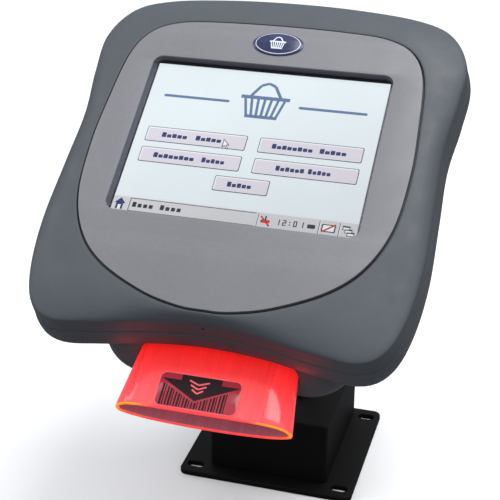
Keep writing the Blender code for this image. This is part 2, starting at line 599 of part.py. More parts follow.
# holes for the housing screws, the mount screws and the reset button
MOUNT_SCREWS = [(sx * MOUNT_SPACING / 2, PIVOT_Y + sy * MOUNT_SPACING / 2)
                for sx in (-1, 1) for sy in (-1, 1)]
RESET = (46 * MM, PORT_Y)
rear_holes = [cylinder("housing_hole_%d" % i, 2.0 * MM, 30 * MM, "Z", (x, y, -25 * MM), 12, tools)
              for i, (x, y) in enumerate(HOUSING_SCREWS)]
rear_holes += [cylinder("housing_sink_%d" % i, 3.7 * MM, 20 * MM, "Z", (x, y, SCREW_SEAT - 10 * MM), 16, tools)
               for i, (x, y) in enumerate(HOUSING_SCREWS)]
rear_holes += [cylinder("mount_hole_%d" % i, 2.2 * MM, 8 * MM, "Z", (x, y, -37 * MM), 16, tools)
               for i, (x, y) in enumerate(MOUNT_SCREWS)]
rear_holes.append(cylinder("reset_hole", 3.0 * MM, 10 * MM, "Z", (*RESET, -37 * MM), 20, tools))
cut(rear_shell, *rear_holes)
for i, (x, y) in enumerate(HOUSING_SCREWS):
    screw = lathe("housing_screw_%d" % (i + 1),
                  [(0, 13 * MM), (1.5 * MM, 13 * MM), (1.5 * MM, 0), (3.2 * MM, 0),
                   (3.2 * MM, -1.4 * MM), (2.4 * MM, -2.3 * MM), (0, -2.4 * MM)], 12)
    place(screw, ZINC, head_frame, (x, y, SCREW_SEAT - GAP))
reset_button = lathe("reset_button", [(0, 7 * MM), (4 * MM, 7 * MM), (4 * MM, 5.6 * MM), (2.7 * MM, 5.6 * MM),
                                      (2.7 * MM, 0.3 * MM), (2.3 * MM, 0), (0, 0)], 20)
place(reset_button, KNOB_BLACK, head_frame, (*RESET, -39.0 * MM))
reset_switch = box("reset_switch", (6 * MM, 6 * MM, 10.6 * MM))
place(reset_switch, CHIP_BLACK, head_frame, (*RESET, -24.2 * MM))

# -------------------------------------------------------------- scan group
hood = loft("scan_hood", [
    hood_ring(HOOD_MOUTH), hood_ring(-110 * MM), hood_ring(HOOD_ROOT - 2 * MM),
    hood_ring(HOOD_ROOT - 2 * MM, 2.0 * MM), hood_ring(HOOD_ROOT, 2.0 * MM),
    hood_ring(HOOD_ROOT, -HOOD_WALL), hood_ring(HOOD_ROOT - 2 * MM, -HOOD_WALL),
    hood_ring(-110 * MM, -HOOD_WALL), hood_ring(HOOD_MOUTH, -HOOD_WALL)], closed=True)
place(hood, HOOD_RED, head_frame)
LABEL_SLOPE = 0.0274                # rise of the hood's top per unit of length towards the mouth
label = sheet("hood_label", [rounded(37.5 * MM, 16.4 * MM, 3 * MM, 4)], 0.3 * MM)
place(label, LABEL_CLEAR, head_frame, (-0.3 * MM, -116.2 * MM, -24.65 * MM), (-LABEL_SLOPE, 0, 0))
window = loft("scan_window", [hood_ring(-93.6 * MM, -2.7 * MM), hood_ring(-95.2 * MM, -2.7 * MM)])
place(window, WINDOW_CLEAR, head_frame)
engine = box("scan_engine", (32 * MM, 20 * MM, 15 * MM))
place(engine, CHIP_BLACK, head_frame, (0, -77 * MM, -34 * MM))
lens = lathe("scan_lens", [(0, 0), (3.6 * MM, 0), (4.4 * MM, -0.6 * MM), (4.4 * MM, -2.6 * MM),
                           (3.0 * MM, -3.2 * MM), (0, -3.5 * MM)], 24)
place(lens, LENS_DARK, head_frame, (-6 * MM, -87 * MM - GAP, -34 * MM), (-math.pi / 2, 0, 0))
led_board = box("led_board", (64 * MM, 1.4 * MM, 5 * MM))
place(led_board, BOARD_GREEN, head_frame, (0, -84 * MM, -46 * MM))
scan_board = box("scan_board", (70 * MM, 26 * MM, 1.6 * MM))
place(scan_board, BOARD_GREEN, head_frame, (0, -76 * MM, -50.5 * MM))
speaker = lathe("speaker", [(0, 3 * MM), (8 * MM, 3 * MM), (13 * MM, 4.5 * MM), (14 * MM, 4.5 * MM),
                            (14 * MM, 2.4 * MM), (7 * MM, 0), (0, 0)], 24)
place(speaker, BEZEL_BLACK, head_frame, (62 * MM, -70 * MM, -24 * MM))

# -------------------------------------------------- tilt mount on the back
mount_holes = [circle(2.2 * MM, 16, x, y - PIVOT_Y) for x, y in MOUNT_SCREWS]
tilt_mount = sheet("tilt_mount", [rounded(86 * MM, 86 * MM, 5 * MM, 4)] + mount_holes, SHEET)
MOUNT_BACK = -38 * MM - GAP - SHEET
place(tilt_mount, POWDER_BLACK, head_frame, (0, PIVOT_Y, MOUNT_BACK))
LUG_OUTER = NECK_INNER - 1 * MM - 2 * GAP
lug_reach = PIVOT_Z - MOUNT_BACK
lug_outline = [(13 * MM, 1.3 * MM), (-13 * MM, 1.3 * MM)]
for step in range(9):
    a = math.radians(180 + 22.5 * step)
    lug_outline.append((8.5 * MM * math.cos(a), lug_reach + 8.5 * MM * math.sin(a)))
for side in (-1, 1):
    lug = sheet("mount_lug_%s" % ("left" if side < 0 else "right"),
                [lug_outline, circle(PIN_RADIUS + PIN_CLEARANCE, 24, 0, lug_reach)], NECK_SHEET, tools)
    turn = Matrix(((0, 0, 1, 0), (1, 0, 0, 0), (0, 1, 0, 0), (0, 0, 0, 1)))
    start = side * (LUG_OUTER - NECK_SHEET / 2) - NECK_SHEET / 2
    transform(lug, Matrix.Translation((start, 0, 0)) @ turn)
    lug.parent = head_frame
    lug.location = tilt_mount.location
    combine(tilt_mount, lug, "UNION")
for i, (x, y) in enumerate(MOUNT_SCREWS):
    screw = lathe("mount_screw_%d" % (i + 1),
                  [(0, 9 * MM), (1.9 * MM, 9 * MM), (1.9 * MM, 0), (3.8 * MM, 0),
                   (3.8 * MM, -1.2 * MM), (3.0 * MM, -2.4 * MM), (0, -2.6 * MM)], 12)
    place(screw, ZINC, head_frame, (x, y, MOUNT_BACK - GAP))
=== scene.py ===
"""Looks of the self checkout kiosk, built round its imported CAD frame.

Lengths in the drawing code are millimetres and become metres when a mesh is made.
The head is drawn in its own frame: x to the right, y up the screen, z out of the
screen, origin at the centre of the screen.  The stand is drawn in the row frame.
"""
import json
import math

import bmesh
import bpy
import numpy as np
from mathutils import Matrix, Vector


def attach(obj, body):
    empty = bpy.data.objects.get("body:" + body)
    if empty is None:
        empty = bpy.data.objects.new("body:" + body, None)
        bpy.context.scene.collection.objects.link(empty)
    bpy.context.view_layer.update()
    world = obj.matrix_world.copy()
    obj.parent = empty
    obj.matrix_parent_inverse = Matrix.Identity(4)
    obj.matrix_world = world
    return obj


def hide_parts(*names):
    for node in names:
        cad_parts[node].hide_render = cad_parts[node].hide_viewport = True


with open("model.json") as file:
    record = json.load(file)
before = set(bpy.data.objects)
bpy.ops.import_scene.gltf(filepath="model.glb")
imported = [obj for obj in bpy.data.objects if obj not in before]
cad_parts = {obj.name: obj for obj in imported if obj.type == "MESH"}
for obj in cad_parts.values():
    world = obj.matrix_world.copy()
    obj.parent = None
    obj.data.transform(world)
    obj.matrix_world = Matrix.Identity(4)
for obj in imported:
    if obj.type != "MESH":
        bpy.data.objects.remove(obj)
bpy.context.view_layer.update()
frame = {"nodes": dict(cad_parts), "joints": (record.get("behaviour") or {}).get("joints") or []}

# ---- dimensions
MM = 0.001
GAP = 0.3                           # clearance between neighbouring pieces
TILT = math.radians(34)             # screen plane above the horizontal at rest
PIVOT_Y, PIVOT_Z = -8, -58          # tilt axis in the head frame
OUTLINE_POINTS = 240
PARTING_Z = -10.5
SCREEN_W, SCREEN_H = 115.2, 86.4
OPENING_W, OPENING_H = 118.8, 90
INSERT_TOP = 4
HOOD_WALL, RIM = 2.2, 1.6           # wall at the root and at the mouth
HOOD_ROOT, HOOD_MOUTH = -88, -125.5
HOOD_X = 2.2                        # hood and pod sit a little right of the screen's centre
PLATE_W, PLATE_D, PLATE_T = 94, 86, 3
SLOT_X, SLOT_Y = 39.5, 35.5
BOX_W, BOX_H = 64, 35
BOX_FRONT, BOX_BACK = -34, 40
SHEET = 2
NECK_INNER, NECK_SHEET = 18.1, 2.5
PIN_RADIUS = 3

BODY_HALF = [(0, 89), (32, 88), (63, 84.3), (81, 76.5), (90.5, 59), (90, 36), (87.4, 10), (88.3, -20),
             (89, -52), (86.2, -78), (80, -94.5), (69, -101.3), (50, -99.6), (24, -95.4), (0, -94)]
INSERT_HALF = [(0, 69.8), (30, 69.2), (52, 67), (66, 59.5), (73.4, 44), (76.2, 14), (76.9, -10),
               (74.4, -38), (66, -59), (52, -73.5), (30, -84.8), (12, -89.6), (0, -90.2)]
HOOD_HALF = [(0, -25), (16, -25), (28.5, -25.3), (35.5, -27.2), (39.3, -31.5), (38.6, -36.5),
             (30, -40.2), (16, -42.3), (0, -43)]
POD = [(-15, 50, -90, -62, 12), (-24, 56, -93, -59, 15), (-30, 58.5, -96.5, -57, 18),
       (-37, 60, -100, -55.5, 21), (-44, 60.3, -101, -55.5, 22), (-51, 58.5, -98.3, -58, 19.5),
       (-55.5, 54.5, -93.5, -63, 14), (-57.2, 48.5, -88, -69, 9)]

hinge = next(joint for joint in frame["joints"] if joint["name"] == "head_tilt")
PIN = Vector(hinge["pos_m"])
WORLD = Matrix.Identity(4)


def shift(x, y, z):
    """Move by millimetres."""
    return Matrix.Translation(Vector((x, y, z)) * MM)


HEAD = (Matrix.Translation(PIN) @ Matrix.Rotation(TILT, 4, "X")
        @ Matrix.Translation(Vector((0, -PIVOT_Y * MM, -PIVOT_Z * MM))))


# ---- node materials
def srgb(red, green, blue):
    """Scene-linear colour of a display colour given in 0..255."""
    return tuple((c / 255 / 12.92) if c < 11 else ((c / 255 + 0.055) / 1.055) ** 2.4
                 for c in (red, green, blue)) + (1.0,)


class Look:
    """A node material being wired up round one Principled shader."""

    def __init__(self, name, colour, roughness, metallic=0.0):
        self.material = bpy.data.materials.new(name)
        self.material.use_nodes = True
        self.tree = self.material.node_tree
        self.shader = self.tree.nodes["Principled BSDF"]
        self.output = self.tree.nodes["Material Output"]
        self.where = self.add("ShaderNodeTexCoord").outputs["Object"]
        self.colour = colour
        self.set("Base Color", colour)
        self.set("Roughness", roughness)
        self.set("Metallic", metallic)

    def add(self, kind, values=None, **settings):
        made = self.tree.nodes.new(kind)
        for key, value in settings.items():
            setattr(made, key, value)
        for key, value in (values or {}).items():
            self.feed(made.inputs[key], value)
        return made

    def feed(self, socket, value):
        if isinstance(value, bpy.types.NodeSocket):
            self.tree.links.new(value, socket)
        else:
            socket.default_value = value

    def set(self, name, value):
        self.feed(self.shader.inputs[name], value)

    def noise(self, size, detail=3.0, stretch=(1, 1, 1)):
        """Noise with features of about this size in mm, 0 to 1."""
        spread = self.add("ShaderNodeMapping", {"Vector": self.where, "Scale": stretch})
        made = self.add("ShaderNodeTexNoise", {"Vector": spread.outputs["Vector"], "Scale": 1 / (size * MM),
                                               "Detail": detail, "Roughness": 0.55})
        return made.outputs["Fac"]

    def span(self, value, low, high, to_low, to_high, smooth=False):
        """Map a value from one range to another, clamped."""
        made = self.add("ShaderNodeMapRange", {"Value": value, "From Min": low, "From Max": high,
                                               "To Min": to_low, "To Max": to_high},
                        interpolation_type="SMOOTHSTEP" if smooth else "LINEAR")
        return made.outputs["Result"]

    def sums(self, operation, a, b=0.0):
        made = self.add("ShaderNodeMath", operation=operation)
        self.feed(made.inputs[0], a)
        self.feed(made.inputs[1], b)
        return made.outputs["Value"]

    def mix(self, factor, a, b, kind="MIX"):
        made = self.add("ShaderNodeMix", data_type="RGBA", blend_type=kind)
        self.feed(made.inputs[0], factor)
        self.feed(made.inputs[6], a)
        self.feed(made.inputs[7], b)
        return made.outputs[2]

    def shade(self, colour, value):
        """Colour scaled by a number socket."""
        grey = self.add("ShaderNodeCombineColor", {"Red": value, "Green": value, "Blue": value})
        return self.mix(1.0, colour, grey.outputs["Color"], "MULTIPLY")

    def axis(self, letter):
        split = self.add("ShaderNodeSeparateXYZ", {"Vector": self.where})
        return split.outputs[letter]

    def bump(self, height, strength, depth):
        made = self.add("ShaderNodeBump", {"Height": height, "Strength": strength, "Distance": depth * MM})
        self.set("Normal", made.outputs["Normal"])

    def times(self, a, b):
        return self.sums("MULTIPLY", a, b)

    def vary(self, size, low, high, detail=3.0, stretch=(1, 1, 1)):
        """Number that wanders from low to high in patches of about this size in mm."""
        return self.span(self.noise(size, detail, stretch), 0.3, 0.7, low, high)

    def glow(self, colour, strength):
        self.set("Emission Color", colour)
        self.set("Emission Strength", strength)

    def layer(self, factor, a, b):
        """Surface that mixes two shaders."""
        both = self.add("ShaderNodeMixShader", {"Fac": factor})
        self.feed(both.inputs[1], a.outputs["BSDF"])
        self.feed(both.inputs[2], b.outputs["BSDF"])
        self.feed(self.output.inputs["Surface"], both.outputs["Shader"])


def moulded(name, colour, roughness, grain=0.45, relief=0.25, mottle=0.08, wear=0.12):
    """Moulded plastic: spark-eroded grain, faint mottling, rubbed edges, finger marks in the gloss."""
    look = Look(name, colour, roughness)
    fine = look.noise(grain, 2.0)
    soft = look.noise(2.2, 3.0)
    tone = look.sums("ADD", look.span(fine, 0.3, 0.7, 1 - mottle, 1 + mottle),
                     look.span(soft, 0.3, 0.7, -mottle * 0.5, mottle * 0.5))
    tone = look.times(tone, look.vary(38, 0.965, 1.035, 4.0))
    body = look.shade(colour, tone)
    edge = look.add("ShaderNodeNewGeometry").outputs["Pointiness"]
    rubbed = look.times(look.span(edge, 0.53, 0.6, 0.0, wear, True), look.span(soft, 0.35, 0.65, 0.4, 1))
    pale = tuple(min(1.0, c * 1.7 + 0.03) for c in colour[:3]) + (1.0,)
    look.set("Base Color", look.mix(rubbed, body, pale))
    marks = look.noise(14, 5.0)
    look.set("Roughness", look.span(marks, 0.35, 0.68, roughness - 0.05, roughness + 0.07))
    look.set("Specular IOR Level", 0.42)
    look.bump(fine, relief, 0.04)
    return look.material


def powder(name, colour, roughness):
    """Powder-coated steel: orange-peel relief, a few dust specks."""
    look = Look(name, colour, roughness)
    peel = look.noise(1.1, 2.0)
    fine = look.noise(0.35, 2.0)
    dust = look.noise(0.8, 1.0)
    settled = look.times(look.span(dust, 0.66, 0.74, 0, 1), look.span(look.noise(24), 0.45, 0.7, 0, 0.5))
    body = look.shade(colour, look.vary(30, 0.85, 1.2, 4.0))
    look.set("Base Color", look.mix(settled, body, srgb(40, 41, 40)))
    look.set("Roughness", look.span(fine, 0.3, 0.7, roughness - 0.06, roughness + 0.08))
    look.set("Specular IOR Level", 0.12)
    look.bump(look.sums("ADD", peel, look.times(fine, 0.4)), 0.35, 0.06)
    return look.material


def metal(name, colour, roughness, stretch=(1, 1, 14)):
    """Plated or stamped metal with drawn marks."""
    look = Look(name, colour, roughness, 1.0)
    drawn = look.noise(1.4, 4.0, stretch)
    look.set("Base Color", look.shade(colour, look.vary(5, 0.82, 1.08)))
    look.set("Roughness", look.span(drawn, 0.3, 0.7, roughness - 0.1, roughness + 0.14))
    look.bump(drawn, 0.12, 0.02)
    return look.material


def board(name):
    """Solder mask over etched tracks."""
    look = Look(name, srgb(20, 86, 48), 0.45)
    cells = look.add("ShaderNodeTexBrick", {"Vector": look.where, "Scale": 240.0, "Mortar Size": 0.06,
                                            "Color1": srgb(16, 74, 42), "Color2": srgb(20, 88, 50),
                                            "Mortar": srgb(52, 128, 70)})
    look.set("Base Color", look.mix(look.span(look.noise(6), 0.4, 0.6, 0.2, 0.9), srgb(18, 80, 46),
                                    cells.outputs["Color"]))
    look.bump(cells.outputs["Fac"], 0.2, 0.03)
    return look.material


def lit(name, colour):
    """Part of the lit picture on the display: falls off towards the lower right, faint dot grid."""
    look = Look(name, (0.005, 0.005, 0.006, 1), 0.4)
    across = look.sums("ADD", look.times(look.axis("X"), 0.5), look.times(look.axis("Y"), -1.0))
    fall = look.span(across, -0.03, 0.075, 0.98, 0.75)
    dots = look.add("ShaderNodeTexWave", {"Vector": look.where, "Scale": 870.0, "Distortion": 0.0},
                    wave_type="BANDS", bands_direction="X")
    grid = look.span(dots.outputs["Fac"], 0, 1, 0.97, 1.03)
    cloud = look.vary(30, 0.985, 1.015, 2.0)
    look.glow(look.shade(colour, look.times(fall, look.times(grid, cloud))), 1.0)
    look.set("Specular IOR Level", 0.1)
    return look.material


def clear_film(name, tint, gloss, roughness):
    """Thin clear sheet: passes light straight on and mirrors a little of the room."""
    look = Look(name, tint, roughness)
    through = look.add("ShaderNodeBsdfTransparent", {"Color": tint})
    smear = look.span(look.noise(22, 4.0), 0.35, 0.7, roughness * 0.7, roughness * 1.5)
    mirror = look.add("ShaderNodeBsdfGlossy", {"Color": (1, 1, 1, 1), "Roughness": smear})
    facing = look.add("ShaderNodeLayerWeight", {"Blend": 0.25})
    look.layer(look.times(facing.outputs["Fresnel"], gloss), through, mirror)
    return look.material


def glowing(name, near_root, near_mouth, glow, see_through, reflection_streaks=0.12):
    """Fluorescent acrylic wall with a painted glow, deeper towards its root, and painted streaks of
    reflection drawn out along it.
    """
    look = Look(name, near_mouth, 0.14)
    rise = look.span(look.axis("Y"), HOOD_MOUTH * MM, HOOD_ROOT * MM, 0, 1, True)
    body = look.mix(rise, near_mouth, near_root)
    # streaks stretched along the wall: painted reflection
    tone = look.times(look.vary(1.6, 1 - reflection_streaks, 1 + reflection_streaks, 3.0, (1, 0.03, 1)),
                      look.vary(16, 0.93, 1.08, 3.0, (1, 0.5, 1)))
    body = look.shade(body, tone)
    look.set("Base Color", body)
    # the wall glows though it holds no lamp: painted glow
    look.glow(body, glow)
    look.set("Coat Weight", 0.12)
    look.set("Coat Roughness", 0.12)
    look.set("Specular IOR Level", 0.3)
    look.bump(look.noise(9, 2.0, (1, 0.2, 1)), 0.1, 0.2)
    clear = look.add("ShaderNodeBsdfTransparent", {"Color": (1, 0.42, 0.42, 1)})
    look.layer(see_through, look.shader, clear)
    return look


def painted_bend_line(look, x, width, strength):
    """Strength of a dark broken line of painted shade and reflection drawn down the hood's wall at x."""
    away = look.sums("ABSOLUTE", look.sums("SUBTRACT", look.axis("X"), x * MM))
    broken = look.span(look.noise(1.3, 2.0, (0.2, 1, 0.2)), 0.42, 0.56, 0.15, 1)
    return look.times(look.span(away, width * 0.4 * MM, width * MM, strength, 0), broken)


def hood_wall():
    """Outer face of the hood with dark broken lines of painted shade and reflection where its wall bends."""
    look = glowing("hood_wall", srgb(215, 22, 16), srgb(222, 70, 75), 0.8, 0.06)
    lines = look.sums("ADD", painted_bend_line(look, -31, 0.35, 0.5), look.sums(
        "ADD", painted_bend_line(look, 27.6, 0.3, 0.3), painted_bend_line(look, 30.2, 0.3, 0.45)))
    body = look.shader.inputs["Base Color"].links[0].from_socket
    # dark red of the painted shade and reflection lines
    body = look.mix(lines, body, srgb(96, 8, 14))
    look.set("Base Color", body)
    look.set("Emission Color", body)
    return look.material


def hood_rim():
    """Cut edge of the hood with a painted glow: coral, turning orange where the upper edge bends round the
    ends.
    """
    look = Look("hood_rim", srgb(230, 60, 60), 0.3)
    spread = look.sums("ABSOLUTE", look.sums("SUBTRACT", look.axis("X"), HOOD_X * MM))
    end = look.times(look.span(spread, 0.021, 0.033, 0, 1, True),
                     look.span(look.axis("Z"), -0.0375, -0.033, 0.2, 1, True))
    light = look.shade(look.mix(end, srgb(226, 54, 56), srgb(252, 128, 22)), look.vary(2.5, 0.85, 1.1))
    look.set("Base Color", light)
    # the rim glows though it holds no lamp: painted glow
    look.glow(light, 0.95)
    look.set("Specular IOR Level", 0.2)
    return look.material


def two_tone(name, colour, roughness, size, dark, light, strength=None):
    """Printed or cut film whose tone wanders between two colours; lit when a strength is given."""
    look = Look(name, colour, roughness)
    tone = look.mix(look.noise(size), dark, light)
    if strength is None:
        look.set("Base Color", tone)
    else:
        look.glow(tone, strength)
    return look


SHELL = moulded("shell_textured", srgb(61, 66, 72), 0.55)
INSERT = moulded("insert_textured", srgb(106, 106, 110), 0.5, mottle=0.06, wear=0.06)
# the screen frame's wall: the insert's grey, darker and bluer as painted shade
BEVEL = moulded("bevel_painted_shade", srgb(64, 67, 80), 0.45, mottle=0.05)
SATIN_BLACK = moulded("satin_black", srgb(26, 26, 29), 0.45)
BLACK = powder("stand_powder_coat", srgb(9, 9, 10), 0.6)
ZINC = metal("zinc_plate", srgb(196, 196, 190), 0.36)
STEEL = metal("stamped_steel", srgb(190, 192, 194), 0.34, (1, 12, 1))
GOLD = metal("contact_gold", srgb(226, 178, 84), 0.3)
NYLON = moulded("nylon_natural", srgb(212, 208, 196), 0.5, mottle=0.04, wear=0)
RUBBER = moulded("rubber_matt", srgb(22, 22, 22), 0.85, 0.7, 0.4, wear=0.05)
CHIP = moulded("chip_epoxy", srgb(24, 24, 26), 0.5, 0.3)
BOARD = board("board_solder_mask")
RIBBON = moulded("ribbon_polyimide", srgb(196, 140, 66), 0.4, 1.2, 0.1)
GLASS = clear_film("touch_film", (0.985, 0.99, 1.0, 1), 0.55, 0.12)
LENS = moulded("lens_coated", srgb(30, 12, 40), 0.12, 2.0, 0.02, wear=0)


# ---- drawing helpers
def fresh(name, data):
    """New object in the scene."""
    obj = bpy.data.objects.new(name, data)
    bpy.context.scene.collection.objects.link(obj)
    return obj


def from_bmesh(name, bm, weld=0.0004):
    """Object from a mesh drawn in millimetres."""
    if weld:
        bmesh.ops.remove_doubles(bm, verts=bm.verts, dist=weld)
    bmesh.ops.recalc_face_normals(bm, faces=bm.faces)
    bmesh.ops.scale(bm, vec=(MM, MM, MM), verts=bm.verts)
    mesh = bpy.data.meshes.new(name)
    bm.to_mesh(mesh)
    bm.free()
    return fresh(name, mesh)


def loft(name, rings, closed=False, marks=None):
    """Skin equal-length rings; cap both ends, or join last to first.  marks: material index per band."""
    bm = bmesh.new()
    loops = [[bm.verts.new(p) for p in ring] for ring in rings]
    followers = loops[1:] + (loops[:1] if closed else [])
    for band, (near, far) in enumerate(zip(loops, followers)):
        for i in range(len(near)):
            j = (i + 1) % len(near)
            face = bm.faces.new((near[i], near[j], far[j], far[i]))
            face.material_index = marks[band] if marks else 0
    if not closed:
        bm.faces.new(loops[0])
        bm.faces.new(loops[-1])
    return from_bmesh(name, bm)


def circle(radius, sides=48, cx=0.0, cy=0.0):
    return [(cx + radius * math.cos(2 * math.pi * i / sides), cy + radius * math.sin(2 * math.pi * i / sides))
            for i in range(sides)]


def rounded(width, height, radius, corner=8, cx=0.0, cy=0.0):
    """Rectangle with round corners, anticlockwise."""
    points = []
    for quarter, (sx, sy) in enumerate(((1, 1), (-1, 1), (-1, -1), (1, -1))):
        mx, my = cx + sx * (width / 2 - radius), cy + sy * (height / 2 - radius)
        for i in range(corner + 1):
            a = math.pi / 2 * (quarter + i / corner)
            points.append((mx + radius * math.cos(a), my + radius * math.sin(a)))
    return points


def at_depth(points, z):
    return [(float(x), float(y), float(z)) for x, y in points]


def bar(name, outline, low, high, axis="Z", centre=(0, 0, 0)):
    """Solid of constant section along an axis."""
    obj = loft(name, [at_depth(outline, low), at_depth(outline, high)])
    turn = {"Z": Matrix.Identity(4), "X": Matrix(((0, 0, 1, 0), (1, 0, 0, 0), (0, 1, 0, 0), (0, 0, 0, 1))),
            "Y": Matrix(((0, 1, 0, 0), (0, 0, 1, 0), (1, 0, 0, 0), (0, 0, 0, 1)))}[axis]
    obj.data.transform(shift(*centre) @ turn)
    return obj


def slab(name, width, depth, low, high, radius, edge, at=(0, 0), foot=0.3, corner=8):
    """Plate with round corners, a broken lower edge and a rounded upper edge."""
    steps = [(foot, low), (0, low + foot)]
    for i in range(6):
        a = math.pi / 2 * i / 5
        steps.append((edge * (1 - math.cos(a)), high - edge + edge * math.sin(a)))
    return loft(name, [at_depth(rounded(width - 2 * t, depth - 2 * t, max(radius - t, 0.15), corner, *at), z)
                       for t, z in steps])


def turned(name, profile, sides=48, squeeze=1.0):
    """Solid of revolution about z from (radius, height) pairs, bottom to top or top to bottom."""
    rings = [[(r * math.cos(2 * math.pi * i / sides), squeeze * r * math.sin(2 * math.pi * i / sides), h)
              for i in range(sides)] for r, h in profile]
    return loft(name, rings)


def tube(name, profile, sides=48):
    """Ring-shaped solid of revolution from a closed profile of (radius, height) pairs."""
    rings = [at_depth(circle(r, sides), h) for r, h in profile]
    return loft(name, rings, closed=True)


def sheet(name, outlines, low, high, edge=0.25):
    """Flat sheet with holes and broken edges."""
    curve = bpy.data.curves.new(name + "_outline", "CURVE")
    curve.dimensions = "2D"
    curve.fill_mode = "BOTH"
    curve.extrude = (high - low) / 2
    for outline in outlines:
        spline = curve.splines.new("POLY")
        spline.points.add(len(outline) - 1)
        for point, (x, y) in zip(spline.points, outline):
            point.co = (x, y, 0, 1)
        spline.use_cyclic_u = True
    holder = fresh(name + "_curve", curve)
    mesh = bpy.data.meshes.new_from_object(holder.evaluated_get(bpy.context.evaluated_depsgraph_get()))
    bpy.data.objects.remove(holder, do_unlink=True)
    bm = bmesh.new()
    bm.from_mesh(mesh)
    bmesh.ops.translate(bm, vec=(0, 0, (high + low) / 2), verts=bm.verts)
    obj = from_bmesh(name, bm)
    return soften(obj, edge) if edge else obj


def soften(obj, width, segments=2, angle=40):
    rounder = obj.modifiers.new("soften", "BEVEL")
    rounder.width = width * MM
    rounder.segments = segments
    rounder.limit_method = "ANGLE"
    rounder.angle_limit = math.radians(angle)
    return obj


def combine(obj, operation, *others):
    """Boolean with tool pieces, which are then thrown away."""
    for other in others:
        step = obj.modifiers.new("step", "BOOLEAN")
        step.operation = operation
        step.solver = "EXACT"
        step.object = other
    bake(obj)
    for other in others:
        bpy.data.objects.remove(other, do_unlink=True)
    return obj


def bake(obj):
    mesh = bpy.data.meshes.new_from_object(obj.evaluated_get(bpy.context.evaluated_depsgraph_get()))
    obj.modifiers.clear()
    obj.data = mesh
    return obj


def settle(obj, looks, stands_for=(), body="head", at=HEAD, crease=32):
    """Finish a piece: shape, shading, material, place, body and the CAD nodes it stands for."""
    if obj.modifiers:
        bake(obj)
    mesh = obj.data
    looks = looks if isinstance(looks, (list, tuple)) else [looks]
    bands = np.zeros(len(mesh.polygons), dtype=np.int32)
    mesh.polygons.foreach_get("material_index", bands)
    mesh.materials.clear()
    for look in looks:
        mesh.materials.append(look)
    mesh.polygons.foreach_set("material_index", np.minimum(bands, len(looks) - 1))
    mesh.polygons.foreach_set("use_smooth", [True] * len(mesh.polygons))
    mesh.set_sharp_from_angle(angle=math.radians(crease))
    obj.matrix_world = at
    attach(obj, body)
    if isinstance(stands_for, str):
        stands_for = (stands_for,)
    if stands_for:
        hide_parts(*stands_for)
    return obj


# ---- smooth outlines
def smooth_closed(half, dense=20):
    """Closed Catmull-Rom curve through half an outline and its mirror image."""
    knots = np.array(half + [(-x, y) for x, y in reversed(half[1:-1])], float)
    count = len(knots)
    points = []
    for k in range(count):
        a, b, c, d = (knots[(k + s) % count] for s in (-1, 0, 1, 2))
        for t in np.linspace(0, 1, dense, endpoint=False):
            points.append(curve_point(a, b, c, d, t))
    return np.array(points)


def curve_point(a, b, c, d, t):
    bend, twist = 2 * a - 5 * b + 4 * c - d, 3 * b - a - 3 * c + d
    return 0.5 * (2 * b + (c - a) * t + bend * t ** 2 + twist * t ** 3)


def even_points(dense, count):
    """Points at equal spacing along a dense closed curve."""
    closed = np.vstack([dense, dense[:1]])
    length = np.concatenate([[0], np.cumsum(np.linalg.norm(np.diff(closed, axis=0), axis=1))])
    along = np.linspace(0, length[-1], count, endpoint=False)
    return np.column_stack([np.interp(along, length, closed[:, k]) for k in range(2)])


def along_rays(dense, targets, centre):
    """Where rays from the centre through the targets cross a star-shaped curve."""
    rel = np.asarray(dense) - centre
    angle = np.arctan2(rel[:, 1], rel[:, 0])
    order = np.argsort(angle)
    reach = np.hypot(rel[:, 0], rel[:, 1])
    aim = np.arctan2(targets[:, 1] - centre[1], targets[:, 0] - centre[0])
    r = np.interp(aim, angle[order], reach[order], period=2 * math.pi)
    return centre + np.column_stack([r * np.cos(aim), r * np.sin(aim)])


def push(points, amount):
    """Move each point of a clockwise outline outwards by an amount."""
    tangent = np.roll(points, -1, axis=0) - np.roll(points, 1, axis=0)
    tangent /= np.linalg.norm(tangent, axis=1)[:, None]
    return points + amount * np.column_stack([-tangent[:, 1], tangent[:, 0]])


def flow(rings, steps=4):
    """Smooth run of rings through the given ones, the ends kept."""
    rings = [np.array(r, float) for r in rings]
    last = len(rings) - 1
    run = []
    for k in range(last):
        a, b, c, d = rings[max(k - 1, 0)], rings[k], rings[k + 1], rings[min(k + 2, last)]
        run += [curve_point(a, b, c, d, t) for t in np.linspace(0, 1, steps, endpoint=False)]
    return [[tuple(p) for p in ring] for ring in run + [rings[-1]]]


CENTRE = np.array([0.0, -6.0])
body = even_points(smooth_closed(BODY_HALF), OUTLINE_POINTS)
insert = along_rays(smooth_closed(INSERT_HALF), body, CENTRE)


def between(share):
    """Outline part of the way from the insert's edge to the crease."""
    return insert + (body - insert) * share


def shrunk(share):
    """Housing outline scaled towards its centre."""
    return CENTRE + (body - CENTRE) * share


def dome(share):
    """Height of the front face between the insert's edge and the crease."""
    return 3.4 - 4.8 * share ** 2


def stack(steps):
    return [at_depth(points, z) for points, z in steps]


